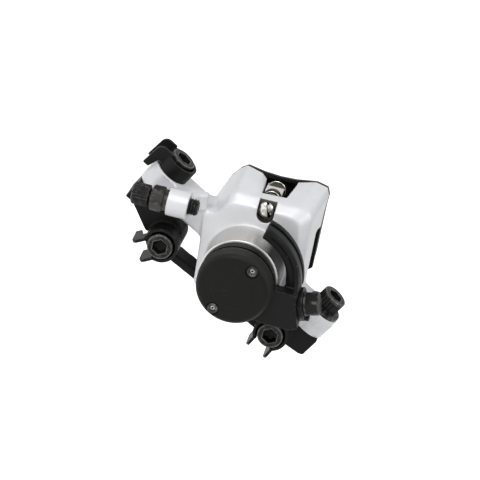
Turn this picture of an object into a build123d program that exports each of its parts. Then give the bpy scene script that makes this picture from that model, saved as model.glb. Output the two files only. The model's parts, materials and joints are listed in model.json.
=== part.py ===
from build123d import *
import os
from math import cos, radians, sin, sqrt

# Cable-operated disc brake caliper on its bracket adapter, in millimetres.
# The origin is the centre of the two bracket bolts, on the adapter's inboard face.
# +X runs along the row of the two post bolts, +Z is up their axes, and -Y is outboard.
# A depth is measured outboard from the plane that holds the axes of the post bolts.
# The caliper leans over, so its pieces are drawn on caliper planes, whose origin is on
# the hub's axis, whose x runs across the caliper and whose y points away from the axle.

# Where things stand
bracket_pitch = 51.0
bracket_lean = 3.36
post_pitch = 74.0
post_shift = 2.85
post_rise = 8.5
post_offset = 5.0
hub_shift = 3.9
hub_rise = 5.1
caliper_lean = 31.0

# Fits and overruns
running_fit = 0.05
seat_fit = 0.1
hole_fit = 0.15
loose_fit = 0.3
overrun = 2.0

# Rotor and pads
rotor_depth = -9.5
pad_gap = 2.6
lining_thickness = 2.0
plate_thickness = 1.8
pad_width = 26.0
pad_height = 21.0
pad_drop = 11.0
pad_shift = 2.0
pad_corner = 3.0
lining_margin = 1.4
tab_radius = 3.2
pin_x = 3.5
pin_y = 21.2
pin_radius = 1.5

# Casting, in two halves
front_depth = 8.0
shoulder_depth = 4.5
slot_depth = -7.0
split_depth = -12.5
inboard_depth = -24.0
casting_reach = 20.0
casting_rise = 28.0
slot_top = 11.5
pocket_fit = 0.4
boss_ledge = 0.8
boss_rim_depth = 21.5
boss_foot = 1.2

# Bolts, all of one thread but the small ones
thread_radius = 3.0
head_radius = 4.7
head_height = 5.7
hex_across = 5.0
hex_depth = 3.2

# Cam inside the hub
cam_bore_radius = 10.0
ball_radius = 2.0
ball_track_radius = 6.4
ball_count = 3
ball_gap = 0.8
arm_travel = 36.0
piston_travel = 1.5
piston_thickness = 7.6
flange_thickness = 4.0
thrust_thickness = 1.0
shaft_radius = 4.0
web_thickness = 3.0
bush_wall = 1.2
tube_wall = 1.8

# Arm and cap
arm_hub_radius = 13.5
arm_hub_thickness = 5.7
arm_hub_stand = 0.5
arm_back_depth = 13.0
arm_gap = 0.6
arm_slot_width = 3.1
horn_thickness = 4.4
cable_depth = 16.6
cable_radius = 0.8
cap_height = 4.9
seal_width = 1.1

# Depths that follow
outer_plate_front = rotor_depth + pad_gap / 2 + lining_thickness
outer_plate_back = outer_plate_front + plate_thickness
inner_plate_front = rotor_depth - pad_gap / 2 - lining_thickness
inner_plate_back = inner_plate_front - plate_thickness
piston_face_depth = outer_plate_back + piston_thickness
flange_depth = piston_face_depth + ball_gap
thrust_depth = flange_depth + flange_thickness
web_depth = thrust_depth + thrust_thickness
well_depth = web_depth + web_thickness
ball_depth = piston_face_depth + ball_gap / 2
arm_hub_depth = boss_rim_depth + loose_fit
cap_depth = arm_hub_depth + arm_hub_thickness
arm_front_depth = cap_depth - arm_hub_stand
boss_radius = arm_hub_radius + boss_ledge
well_radius = arm_hub_radius - seal_width
arm_slot_inner_radius = boss_radius + arm_gap
horn_inner_radius = arm_slot_inner_radius + arm_slot_width
horn_outer_radius = horn_inner_radius + horn_thickness
pad_top = pad_height - pad_drop

# Places that follow
hub_x = hub_shift - post_shift
hub_z = hub_rise + post_rise
across = Vector(cos(radians(caliper_lean)), 0, sin(radians(caliper_lean)))
away = Vector(-sin(radians(caliper_lean)), 0, cos(radians(caliper_lean)))
outboard = Vector(0, -1, 0)


def post_plane(depth):
    return Plane(origin=(-post_shift, -post_offset - depth, post_rise), x_dir=(1, 0, 0), z_dir=outboard)


def bracket_plane(depth):
    along = (cos(radians(bracket_lean)), 0, sin(radians(bracket_lean)))
    return Plane(origin=(0, -post_offset - depth, 0), x_dir=along, z_dir=outboard)


def caliper_point(x, y, depth):
    return Vector(hub_x, -post_offset, hub_z) + across * x + away * y + outboard * depth


def caliper_plane(depth):
    return Plane(origin=caliper_point(0, 0, depth), x_dir=across, z_dir=outboard)


def crosswise_plane(y):
    # x runs across the caliper, y outboard, and the normal points back to the axle
    return Plane(origin=caliper_point(0, y, 0), x_dir=across, z_dir=away * -1)


def shared_points(shares, x_size, y_size):
    return [(x * x_size, y * y_size) for x, y in shares]


def save(builder, label):
    builder.part.label = label
    export_step(builder.part, f"parts/{label}.step")


os.makedirs("parts", exist_ok=True)

# Adapter
adapter_back_depth = -post_offset
adapter_front_depth = 3.6
bracket_boss_radius = 6.3
bracket_boss_depth = 8.0
bar_height = 3.2
bar_drop = 7.2
post_half_length = 6.4
post_half_depth = 6.5
post_drop = 8.0
thread_hole_radius = thread_radius + hole_fit
adapter_reach = post_pitch / 2
left_web_shares = [
    (-1.17, 0), (-1.17, -0.87), (-1.08, -1.0), (-0.8, -1.62), (-0.61, -1.25), (-0.51, -0.53),
    (-0.64, -0.14), (-0.77, 0),
]
right_web_shares = [
    (1.17, 0), (1.17, -1.0), (1.13, -1.1), (0.97, -1.2), (0.85, -1.66), (0.76, -0.9), (0.82, 0),
]
bracket_centres = [(-bracket_pitch / 2, 0), (bracket_pitch / 2, 0)]
post_centres = [(-post_pitch / 2, 0), (post_pitch / 2, 0)]

with BuildPart() as adapter:
    with BuildSketch(bracket_plane(adapter_back_depth)):
        with Locations((0, bar_height / 2 - bar_drop)):
            Rectangle(bracket_pitch, bar_height)
    extrude(amount=adapter_front_depth - adapter_back_depth)
    with BuildSketch(bracket_plane(adapter_back_depth)):
        with Locations(bracket_centres):
            Circle(bracket_boss_radius)
    extrude(amount=bracket_boss_depth - adapter_back_depth)
    for web_shares in (left_web_shares, right_web_shares):
        with BuildSketch(post_plane(adapter_back_depth)):
            with BuildLine():
                Polyline(shared_points(web_shares, adapter_reach, post_drop), close=True)
            make_face()
        extrude(amount=post_half_depth - adapter_back_depth)
    with BuildSketch(post_plane(adapter_back_depth)):
        for x, _ in post_centres:
            with Locations((x, -post_drop / 2)):
                Rectangle(2 * post_half_length, post_drop)
    extrude(amount=post_half_depth - adapter_back_depth)
    with BuildSketch(bracket_plane(adapter_back_depth - overrun)):
        with Locations(bracket_centres):
            Circle(thread_hole_radius)
    extrude(amount=bracket_boss_depth - adapter_back_depth + 2 * overrun, mode=Mode.SUBTRACT)
    with BuildSketch(Plane.XY.offset(post_rise + overrun)):
        for x, _ in post_centres:
            with Locations((x - post_shift, -post_offset)):
                Circle(thread_hole_radius)
    extrude(amount=-2 * post_drop - 2 * overrun, mode=Mode.SUBTRACT)
save(adapter, "adapter")

# Casting outlines, from the split through the shoulder to the front face, as shares of
# the casting's reach from the hub's axis and of its rise above it
split_outline_shares = [
    (-0.88, -0.5), (-0.9, 0.21), (-0.9, 0.43), (-0.87, 0.49), (-0.67, 0.82), (-0.53, 0.95), (-0.41, 1.01),
    (-0.12, 0.955), (-0.01, 0.88), (0.565, 0.95), (0.87, 1.01), (1.09, 0.975), (1.14, 0.88), (1.12, 0.64),
    (1.1, -0.43), (0.5, -0.54), (-0.4, -0.54),
]
shoulder_outline_shares = [
    (-0.88, -0.5), (-0.9, 0.21), (-0.9, 0.46), (-0.76, 0.54), (-0.6, 0.74), (-0.52, 0.83), (-0.42, 0.875),
    (-0.1, 0.88), (0.0, 0.87), (0.5, 0.87), (0.76, 0.87), (0.93, 0.83), (1.0, 0.75), (1.0, 0.57),
    (1.05, -0.43), (0.5, -0.54), (-0.4, -0.54),
]
front_outline_shares = [
    (-0.85, -0.48), (-0.89, 0.21), (-0.92, 0.52), (-0.69, 0.57), (-0.57, 0.69), (-0.48, 0.74),
    (-0.38, 0.76),
    (-0.1, 0.77), (0.0, 0.77), (0.5, 0.765), (0.66, 0.75), (0.77, 0.72), (0.82, 0.67), (0.85, 0.53),
    (0.98, -0.41), (0.48, -0.52), (-0.4, -0.52),
]
casting_sections = [
    (split_depth, split_outline_shares),
    (shoulder_depth, shoulder_outline_shares),
    (front_depth, front_outline_shares),
]

# Ears, which the post bolts hold, with the arms that carry them
ear_radius = 7.1
ear_height = 8.8
ear_slot_radius = 3.3
ear_slot_length = 10.0
left_arm_shares = [(-1.0, 0), (-1.0, 1.0), (-0.57, 1.0), (-0.47, 1.22), (-0.3, 1.3), (-0.3, 0)]
right_arm_shares = [(1.0, 0), (1.0, 1.0), (0.74, 1.0), (0.55, 1.25), (0.4, 1.25), (0.4, 0)]

# Boss for the barrel adjuster
barrel_y = 20.2
barrel_depth = 17.0
barrel_boss_radius = 5.0
barrel_boss_start = 22.4
barrel_boss_length = 7.5
barrel_hole_radius = thread_radius + hole_fit
lug_low_y = 15.4
lug_high_y = 22.0
lug_root = 17.5
lug_notch = 20.5
lug_step_depth = 9.5

# Window over the pads, narrower at its front edge
window_front_depth = 0.0
window_floor_y = 10.0
window_rear_left = -0.6
window_rear_right = 11.3
window_front_left = 0.0
window_front_right = 9.1

# Seat of the pad pin's head
pin_pocket_depth = 4.6
pin_pocket_width = 6.2
pin_pocket_height = 10.0
pin_hole_radius = pin_radius + hole_fit

# Screws that hold the halves together
body_screw_y = 15.8
body_screw_left_x = -10.5
body_screw_right_x = 17.0
body_screw_places = [(body_screw_left_x, body_screw_y), (body_screw_right_x, body_screw_y)]
body_screw_radius = 2.0
body_screw_grip = 9.0

# Guide pins of the piston, bush seat and spring seat
guide_pin_radius = 1.0
guide_pin_length = 4.0
guide_pin_depth = -0.8
bush_seat_radius = shaft_radius + running_fit + bush_wall
tube_radius = bush_seat_radius + tube_wall
spring_hole_radius = 0.85
spring_hole_drop = 1.8
spring_circle_radius = (tube_radius + well_radius) / 2
guide_pin_places = [(-cam_bore_radius, 0), (cam_bore_radius, 0)]
bar_clearance = 1.0
slot_reach_share = 3.0
boss_foot_taper = 30
adapter_side_clearance = 0.6
pocket_half_width = pad_width / 2 + pocket_fit
pocket_floor_depth = outer_plate_back + pocket_fit / 2
slot_reach = slot_reach_share * casting_reach

with BuildPart() as caliper_body:
    for depth, outline_shares in casting_sections:
        with BuildSketch(caliper_plane(depth)):
            with BuildLine():
                Polyline(shared_points(outline_shares, casting_reach, casting_rise), close=True)
            make_face()
    loft(ruled=True)
    for arm_shares in (left_arm_shares, right_arm_shares):
        with BuildSketch(post_plane(-ear_radius)):
            with BuildLine():
                Polyline(shared_points(arm_shares, post_pitch / 2, ear_height), close=True)
            make_face()
        extrude(amount=2 * ear_radius)
    with BuildSketch(Plane.XY.offset(post_rise)):
        for x, _ in post_centres:
            with Locations((x - post_shift, -post_offset)):
                Circle(ear_radius)
    extrude(amount=ear_height)
    with BuildSketch(caliper_plane(front_depth - boss_foot)):
        Circle(boss_radius + boss_foot)
    extrude(amount=2 * boss_foot, taper=boss_foot_taper)
    with BuildSketch(caliper_plane(front_depth)):
        Circle(boss_radius)
    extrude(amount=boss_rim_depth - front_depth)
    barrel_start = Plane(
        origin=caliper_point(-barrel_boss_start, barrel_y, barrel_depth), x_dir=away, z_dir=across * -1
    )
    with BuildSketch(crosswise_plane(lug_high_y)):
        with BuildLine():
            Polyline(
                [
                    (-barrel_boss_start - barrel_boss_length, shoulder_depth),
                    (-barrel_boss_start - barrel_boss_length, barrel_depth),
                    (-barrel_boss_start, barrel_depth),
                    (-lug_notch, lug_step_depth),
                    (-lug_root, front_depth),
                    (-lug_root, shoulder_depth),
                ],
                close=True,
            )
        make_face()
    extrude(amount=lug_high_y - lug_low_y)
    with BuildSketch(barrel_start):
        Circle(barrel_boss_radius)
    extrude(amount=barrel_boss_length)

    # Slot for the rotor, pocket for the outboard pad and window over both pads
    with BuildSketch(caliper_plane(split_depth - overrun)):
        with Locations((0, slot_top - slot_reach / 2)):
            Rectangle(2 * slot_reach, slot_reach)
    extrude(amount=slot_depth - split_depth + overrun, mode=Mode.SUBTRACT)
    with BuildSketch(caliper_plane(slot_depth)):
        with Locations((pad_shift, pad_top + pocket_fit - casting_rise / 2)):
            Rectangle(2 * pocket_half_width, casting_rise)
    extrude(amount=pocket_floor_depth - slot_depth, mode=Mode.SUBTRACT)
    with BuildSketch(crosswise_plane(casting_rise + overrun)):
        with BuildLine():
            Polyline(
                [
                    (window_rear_left, split_depth - overrun),
                    (window_rear_right, split_depth - overrun),
                    (window_front_right, window_front_depth),
                    (window_front_left, window_front_depth),
                ],
                close=True,
            )
        make_face()
    extrude(amount=casting_rise + overrun - window_floor_y, mode=Mode.SUBTRACT)

    # Room for the adapter's bar
    with BuildSketch(bracket_plane(split_depth)):
        with Locations((0, bar_height + bar_clearance - bar_drop - casting_rise / 2)):
            Rectangle(bracket_pitch, casting_rise)
    extrude(amount=adapter_front_depth + adapter_side_clearance - split_depth, mode=Mode.SUBTRACT)

    # Pad pin's seat and hole, and the screws' blind holes
    with BuildSketch(caliper_plane(pin_pocket_depth)):
        with Locations((pin_x, pin_y)):
            with Locations((0, (pin_pocket_height - pin_pocket_width) / 4)):
                Rectangle(pin_pocket_width, pin_pocket_height / 2)
            with Locations((0, -pin_pocket_width / 4)):
                Circle(pin_pocket_width / 2)
    extrude(amount=front_depth, mode=Mode.SUBTRACT)
    with BuildSketch(caliper_plane(split_depth - overrun)):
        with Locations((pin_x, pin_y)):
            Circle(pin_hole_radius)
    extrude(amount=front_depth - split_depth + overrun, mode=Mode.SUBTRACT)
    with BuildSketch(caliper_plane(split_depth - overrun)):
        with Locations(body_screw_places):
            Circle(body_screw_radius + hole_fit)
    extrude(amount=body_screw_grip + 2 * overrun, mode=Mode.SUBTRACT)

    # Cam bore with its guide pins' grooves, then the bush seat and the spring's well
    with BuildSketch(caliper_plane(slot_depth)):
        Circle(cam_bore_radius)
    extrude(amount=web_depth - slot_depth, mode=Mode.SUBTRACT)
    with BuildSketch(caliper_plane(guide_pin_depth - seat_fit)):
        with Locations(guide_pin_places):
            Circle(guide_pin_radius + seat_fit)
    extrude(amount=guide_pin_length + 2 * seat_fit, mode=Mode.SUBTRACT)
    with BuildSketch(caliper_plane(slot_depth)):
        Circle(bush_seat_radius)
    extrude(amount=boss_rim_depth - slot_depth + overrun, mode=Mode.SUBTRACT)
    with BuildSketch(caliper_plane(well_depth)):
        Circle(well_radius)
        Circle(tube_radius, mode=Mode.SUBTRACT)
    extrude(amount=boss_rim_depth - well_depth, mode=Mode.SUBTRACT)
    with BuildSketch(caliper_plane(well_depth)):
        with Locations((spring_circle_radius, 0)):
            Circle(spring_hole_radius)
    extrude(amount=-spring_hole_drop, mode=Mode.SUBTRACT)

    # Slots in the ears, so that the caliper can be set sideways
    with BuildSketch(Plane.XY.offset(post_rise - overrun)):
        for x, _ in post_centres:
            with Locations((x - post_shift, -post_offset)):
                SlotOverall(ear_slot_length, 2 * ear_slot_radius, rotation=90)
    extrude(amount=ear_height + 2 * overrun, mode=Mode.SUBTRACT)

    # Hole for the barrel adjuster, laid open where the cable leaves it
    with BuildSketch(barrel_start.offset(-overrun)):
        Circle(barrel_hole_radius)
    extrude(amount=barrel_boss_length + 2 * overrun, mode=Mode.SUBTRACT)
save(caliper_body, "caliper_body")

# Inboard half, which closes the casting and carries the pad adjuster
rim_depth = -15.5
closing_outline_shares = [
    (-0.88, -0.5), (-0.9, 0.21), (-0.9, 0.43), (-0.87, 0.49), (-0.67, 0.82), (-0.53, 0.95), (-0.41, 1.01),
    (-0.1, 0.97), (0.2, 0.955), (0.5, 0.965), (0.87, 1.01), (1.09, 0.975), (1.14, 0.88), (1.12, 0.64),
    (1.12, -0.2), (0.5, -0.54), (-0.4, -0.54),
]
rim_drop_share = 0.03
inboard_rim_shares = [(x, y - rim_drop_share) for x, y in closing_outline_shares]
inboard_outline_shares = [
    (-0.8, -0.45), (-0.82, 0.2), (-0.82, 0.4), (-0.79, 0.46), (-0.62, 0.62), (-0.5, 0.7), (-0.4, 0.72),
    (-0.1, 0.71), (0.2, 0.71), (0.5, 0.71), (0.87, 0.73), (1.03, 0.74), (1.1, 0.7), (1.1, 0.55),
    (1.1, -0.15), (0.5, -0.5), (-0.4, -0.5),
]
inboard_sections = [
    (split_depth, closing_outline_shares),
    (rim_depth, inboard_rim_shares),
    (inboard_depth, inboard_outline_shares),
]
collar_radius = 11.0
collar_height = 3.6
pad_retreat = 0.5
foot_radius = 8.0
foot_thickness = 2.4
stem_radius = 4.0
stem_flat = 3.1
stem_length = 8.4
stem_wall = 2.0
dial_radius = 8.0
dial_neck_radius = 5.8
dial_body_length = 5.6
dial_neck_length = 3.4
dial_bore_length = 6.2
dial_hex_depth = 2.0
ring_thickness = 1.0
ring_section = 2.5
ring_bite = 0.6
ring_gap = 3.0
inner_pocket_depth = inner_plate_back - pad_retreat - loose_fit
foot_bore_depth = inner_plate_back - foot_thickness - 2 * pad_retreat
dial_depth = foot_bore_depth - stem_wall
collar_depth = inboard_depth - collar_height
ring_depth = dial_depth - dial_body_length - seat_fit
window_recess_rise = 25.2
pin_grip = 8.4
screw_head_radius = 3.5
screw_head_height = 4.0
screw_hex = 3.0

with BuildPart() as inboard_body:
    for depth, outline_shares in inboard_sections:
        with BuildSketch(caliper_plane(depth)):
            with BuildLine():
                Polyline(shared_points(outline_shares, casting_reach, casting_rise), close=True)
            make_face()
    loft(ruled=True)
    with BuildSketch(caliper_plane(inboard_depth + overrun)):
        Circle(collar_radius)
    extrude(amount=-collar_height - overrun)
    with BuildSketch(caliper_plane(split_depth)):
        with Locations((pad_shift, pad_top + pocket_fit - casting_rise / 2)):
            Rectangle(2 * pocket_half_width, casting_rise)
    extrude(amount=inner_pocket_depth - split_depth, mode=Mode.SUBTRACT)
    with BuildSketch(caliper_plane(split_depth)):
        window_middle = (window_rear_left + window_rear_right) / 2
        with Locations((window_middle, (window_floor_y + window_recess_rise) / 2)):
            Rectangle(window_rear_right - window_rear_left, window_recess_rise - window_floor_y)
    extrude(amount=inner_pocket_depth - split_depth, mode=Mode.SUBTRACT)
    with BuildSketch(caliper_plane(split_depth)):
        Circle(foot_radius + seat_fit)
    extrude(amount=foot_bore_depth - split_depth, mode=Mode.SUBTRACT)
    with BuildSketch(caliper_plane(foot_bore_depth + seat_fit)):
        Circle(stem_radius + running_fit)
        Rectangle(2 * casting_reach, 2 * (stem_flat + running_fit), mode=Mode.INTERSECT)
    extrude(amount=-stem_wall - 2 * seat_fit, mode=Mode.SUBTRACT)
    with BuildSketch(caliper_plane(dial_depth)):
        Circle(dial_radius + running_fit)
    extrude(amount=collar_depth - dial_depth - overrun, mode=Mode.SUBTRACT)
    with BuildSketch(caliper_plane(ring_depth + running_fit)):
        Circle(dial_radius + ring_bite + seat_fit)
    extrude(amount=-ring_thickness - 2 * running_fit, mode=Mode.SUBTRACT)
    with BuildSketch(caliper_plane(split_depth)):
        with Locations((pin_x, pin_y)):
            Circle(pin_radius + seat_fit)
    extrude(amount=-pin_grip, mode=Mode.SUBTRACT)
    with BuildSketch(caliper_plane(split_depth)):
        with Locations(body_screw_places):
            Circle(body_screw_radius + hole_fit)
    extrude(amount=inboard_depth - split_depth - overrun, mode=Mode.SUBTRACT)
    with BuildSketch(caliper_plane(inboard_depth + screw_head_height)):
        with Locations(body_screw_places):
            Circle(screw_head_radius + hole_fit)
    extrude(amount=-screw_head_height - overrun, mode=Mode.SUBTRACT)
save(inboard_body, "inboard_body")


head_chamfer_share = 0.08
rim_share = 0.01


def socket_bolts(seats, radius, length, head, height, across_flats, socket_depth):
    # Each seat's origin is under the head and its normal points out through the head
    with BuildPart() as bolts:
        for seat in seats:
            with BuildSketch(seat):
                Circle(head)
            extrude(amount=height)
        rims = [edge for edge in bolts.edges().filter_by(GeomType.CIRCLE) if is_rim(edge, seats, height)]
        chamfer(rims, head_chamfer_share * height)
        for seat in seats:
            with BuildSketch(seat):
                Circle(radius)
            extrude(amount=-length)
            with BuildSketch(seat.offset(height)):
                RegularPolygon(across_flats / 2, 6, major_radius=False)
            extrude(amount=-socket_depth, mode=Mode.SUBTRACT)
    return bolts


def is_rim(edge, seats, height):
    return any(abs(seat.to_local_coords(edge.center()).Z - height) < rim_share * height for seat in seats)


# Screws that hold the halves together, drawn up from the inboard side
screw_seats = [
    Plane(origin=caliper_point(x, y, inboard_depth + screw_head_height), x_dir=across, z_dir=outboard * -1)
    for x, y in body_screw_places
]
screw_length = inboard_depth + screw_head_height - split_depth
body_screws = socket_bolts(
    screw_seats,
    body_screw_radius,
    body_screw_grip - screw_length,
    screw_head_radius,
    screw_head_height,
    screw_hex,
    screw_head_height / 2,
)
save(body_screws, "body_screws")

# Post bolts through the ears into the adapter's posts
washer_height = 1.2
washer_radius = 6.8
post_bolt_length = 20.0
bracket_bolt_stand = 3.0
bracket_shank_radius = 2.8
post_seats = [
    Plane(origin=(x - post_shift, -post_offset, post_rise + ear_height + washer_height), z_dir=(0, 0, 1))
    for x, _ in post_centres
]
for seat, label in zip(post_seats, ("post_bolt_left", "post_bolt_right")):
    post_bolt = socket_bolts(
        [seat], thread_radius, post_bolt_length, head_radius, head_height, hex_across, hex_depth
    )
    save(post_bolt, label)
with BuildPart() as post_washer:
    with BuildSketch(post_seats[1]):
        Circle(washer_radius)
        Circle(thread_radius + seat_fit, mode=Mode.SUBTRACT)
    extrude(amount=-washer_height)
save(post_washer, "post_washer")

# Bracket bolts, whose free ends stand out of the adapter's inboard face
bracket_seat = bracket_plane(bracket_boss_depth + washer_height)
bracket_seats = [
    Plane(origin=bracket_seat.from_local_coords((x, y, 0)), x_dir=bracket_seat.x_dir, z_dir=outboard)
    for x, y in bracket_centres
]
bracket_shank_length = bracket_boss_depth + washer_height - adapter_back_depth
waisted_bolts = socket_bolts(
    bracket_seats, bracket_shank_radius, bracket_shank_length, head_radius, head_height, hex_across, hex_depth
)
with BuildPart() as bracket_bolts:
    add(waisted_bolts.part)
    with BuildSketch(bracket_plane(adapter_back_depth)):
        with Locations(bracket_centres):
            Circle(thread_radius)
    extrude(amount=-bracket_bolt_stand)
save(bracket_bolts, "bracket_bolts")

# Lock clips, bands round bolt heads, whose two legs catch the sides of the ear or boss
clip_inner_radius = 5.4
clip_wall = 1.1
clip_height = 4.6
clip_plate = 1.1
clip_plate_gap = 6.6
post_clip_reach = 9.8
post_clip_rise = 5.6
bracket_clip_reach = 9.0
bracket_clip_rise = 5.0
clip_arm_height = 5.2
clip_leg_drop = 9.9
clip_leg_width = 3.2
clip_toe_width = 2.5
clip_splay = 0.6
clip_radius = clip_inner_radius + clip_wall
clip_root = sqrt(clip_inner_radius**2 - (clip_plate_gap / 2) ** 2)


def lock_clip(seat, reach, rise):
    heel = reach - clip_leg_width
    toe = reach + clip_splay
    with BuildPart() as clip:
        with BuildSketch(seat.offset(-washer_height)):
            Circle(clip_radius)
            Circle(thread_radius + seat_fit, mode=Mode.SUBTRACT)
        extrude(amount=washer_height)
        with BuildSketch(seat):
            Circle(clip_radius)
            Circle(clip_inner_radius, mode=Mode.SUBTRACT)
            with Locations((clip_radius, 0)):
                Rectangle(2 * (clip_radius - clip_root + clip_wall), clip_plate_gap, mode=Mode.SUBTRACT)
        extrude(amount=clip_height)
        for side in (-1, 1):
            inner_face = seat.from_local_coords((0, side * clip_plate_gap / 2, 0))
            plate_plane = Plane(origin=inner_face, x_dir=seat.x_dir, z_dir=seat.y_dir * -1)
            with BuildSketch(plate_plane):
                with BuildLine():
                    Polyline(
                        [
                            (clip_root, rise),
                            (reach, rise),
                            (toe, rise - clip_leg_drop),
                            (toe - clip_toe_width, rise - clip_leg_drop),
                            (heel, rise - clip_arm_height),
                            (clip_root, rise - clip_arm_height),
                        ],
                        close=True,
                    )
                make_face()
            extrude(amount=-side * clip_plate)
    return clip


def facing(seat, x, z):
    # The same seat with its x turned towards a direction given in X and Z
    return Plane(origin=seat.origin, x_dir=(x, 0, z), z_dir=seat.z_dir)


left_clip_share = (-0.5, -0.87)
right_clip_share = (0.08, -1.0)
post_clip_seat = Plane(origin=post_seats[0].origin, x_dir=(-1, 0, 0), z_dir=(0, 0, 1))
left_clip_seat = facing(bracket_seats[0], *left_clip_share)
right_clip_seat = facing(bracket_seats[1], *right_clip_share)
save(lock_clip(post_clip_seat, post_clip_reach, post_clip_rise), "post_bolt_clip")
save(lock_clip(left_clip_seat, bracket_clip_reach, bracket_clip_rise), "bracket_bolt_clip_left")
save(lock_clip(right_clip_seat, bracket_clip_reach, bracket_clip_rise), "bracket_bolt_clip_right")

# Brake pads, each a steel plate with a lining bonded to it
lining_width = pad_width - 2 * lining_margin
lining_height = pad_height - 2 * lining_margin
pad_mid_y = pad_top - pad_height / 2
tab_root = pad_top - pad_corner


def pad_plate(depth):
    with BuildPart() as plate:
        with BuildSketch(caliper_plane(depth)):
            with Locations((pad_shift, pad_mid_y)):
                RectangleRounded(pad_width, pad_height, pad_corner)
            with Locations((pin_x, (tab_root + pin_y) / 2)):
                Rectangle(2 * tab_radius, pin_y - tab_root)
            with Locations((pin_x, pin_y)):
                Circle(tab_radius)
                Circle(pin_radius + seat_fit, mode=Mode.SUBTRACT)
        extrude(amount=plate_thickness)
    return plate


def pad_lining(depth):
    with BuildPart() as lining:
        with BuildSketch(caliper_plane(depth)):
            with Locations((pad_shift, pad_mid_y)):
                RectangleRounded(lining_width, lining_height, pad_corner)
        extrude(amount=lining_thickness)
    return lining


save(pad_plate(outer_plate_front), "outboard_pad_plate")
save(pad_lining(outer_plate_front - lining_thickness), "outboard_pad_lining")
save(pad_plate(inner_plate_back), "inboard_pad_plate")
save(pad_lining(inner_plate_front), "inboard_pad_lining")

# Sprung strip between the pad plates, bent down over the pin
strip_thickness = 0.4
strip_width = 6.4
strip_rise = 1.6
strip_low_y = 9.0
wing_width = 14.0
wing_height = 1.2
strip_high_y = pin_y + strip_rise

with BuildPart() as pad_spring:
    for start, step in ((outer_plate_front, -strip_thickness), (inner_plate_front, strip_thickness)):
        with BuildSketch(caliper_plane(start)):
            with Locations((pin_x, (strip_low_y + strip_high_y) / 2)):
                Rectangle(strip_width, strip_high_y - strip_low_y)
            with Locations((pad_shift, strip_low_y + wing_height / 2)):
                Rectangle(wing_width, wing_height)
            with Locations((pin_x, pin_y)):
                Circle(pin_radius + loose_fit / 2, mode=Mode.SUBTRACT)
        extrude(amount=step)
    with BuildSketch(caliper_plane(inner_plate_front)):
        with Locations((pin_x, strip_high_y + strip_thickness / 2)):
            Rectangle(strip_width, strip_thickness)
    extrude(amount=outer_plate_front - inner_plate_front)
save(pad_spring, "pad_spring")

# Pad pin, screwed into the inboard half, with a snap ring behind the front wall
pin_head_radius = 2.8
pin_head_height = 1.0
pin_dome = 0.9
pin_dome_taper = 40
pin_slot_width = 0.9
pin_slot_depth = 0.9
pin_length = pin_pocket_depth - split_depth + pin_grip - loose_fit
pin_ring_radius = 2.7
pin_ring_thickness = 0.6
pin_ring_depth = -2.4

with BuildPart() as pad_pin:
    with BuildSketch(caliper_plane(pin_pocket_depth)):
        with Locations((pin_x, pin_y)):
            Circle(pin_head_radius)
    extrude(amount=pin_head_height)
    with BuildSketch(caliper_plane(pin_pocket_depth + pin_head_height)):
        with Locations((pin_x, pin_y)):
            Circle(pin_head_radius)
    extrude(amount=pin_dome, taper=pin_dome_taper)
    with BuildSketch(caliper_plane(pin_pocket_depth)):
        with Locations((pin_x, pin_y)):
            Circle(pin_radius)
    extrude(amount=-pin_length)
    with BuildSketch(caliper_plane(pin_pocket_depth + pin_head_height + pin_dome)):
        with Locations((pin_x, pin_y)):
            Rectangle(pin_slot_width, 2 * pin_head_radius)
    extrude(amount=-pin_slot_depth, mode=Mode.SUBTRACT)
save(pad_pin, "pad_pin")

with BuildPart() as pad_pin_ring:
    with BuildSketch(caliper_plane(pin_ring_depth)):
        with Locations((pin_x, pin_y)):
            Circle(pin_ring_radius)
            Circle(pin_radius + seat_fit, mode=Mode.SUBTRACT)
        with Locations((pin_x, pin_y - pin_ring_radius)):
            Rectangle(pin_radius, 2 * pin_radius, mode=Mode.SUBTRACT)
    extrude(amount=pin_ring_thickness)
save(pad_pin_ring, "pad_pin_ring")

# Piston that the cam drives against the outboard pad
piston_radius = cam_bore_radius - running_fit
piston_foot_radius = 8.0
piston_foot_height = 1.0
piston_groove_start = 1.8
ring_seal_height = 1.4
ring_seal_section = 1.2
ball_step = 360 / ball_count
ball_turn = arm_travel / 2
ball_angles = [ball_step * n for n in range(ball_count)]
race_radius = ball_radius + running_fit


def polar_point(angle, radius, depth):
    return caliper_point(radius * cos(radians(angle)), radius * sin(radians(angle)), depth)


def cut_track(start_angle, turn, rise):
    # Race for one ball, along an arc that turns about the hub's axis and climbs outboard
    low = polar_point(start_angle, ball_track_radius, ball_depth)
    middle = polar_point(start_angle + turn / 2, ball_track_radius, ball_depth + rise / 2)
    high = polar_point(start_angle + turn, ball_track_radius, ball_depth + rise)
    with BuildLine() as track:
        ThreePointArc(low, middle, high)
    with BuildSketch(Plane(origin=low, z_dir=track.line % 0)) as race:
        Circle(race_radius)
    sweep(sections=race.sketch, path=track.line, mode=Mode.SUBTRACT)
    with Locations(low, high):
        Sphere(race_radius, mode=Mode.SUBTRACT)


with BuildPart() as piston:
    with BuildSketch(caliper_plane(outer_plate_back)):
        Circle(piston_foot_radius)
    extrude(amount=piston_foot_height)
    with BuildSketch(caliper_plane(outer_plate_back + piston_foot_height)):
        Circle(piston_radius)
    extrude(amount=piston_thickness - piston_foot_height)
    with BuildSketch(caliper_plane(guide_pin_depth - seat_fit)):
        with Locations(guide_pin_places):
            Circle(guide_pin_radius + seat_fit)
    extrude(amount=guide_pin_length + 2 * seat_fit, mode=Mode.SUBTRACT)
    with BuildSketch(caliper_plane(outer_plate_back + piston_groove_start)):
        Circle(piston_radius)
        Circle(piston_radius - ring_seal_section, mode=Mode.SUBTRACT)
    extrude(amount=ring_seal_height, mode=Mode.SUBTRACT)
    for angle in ball_angles:
        cut_track(angle, ball_turn, piston_travel)
save(piston, "piston")

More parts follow.
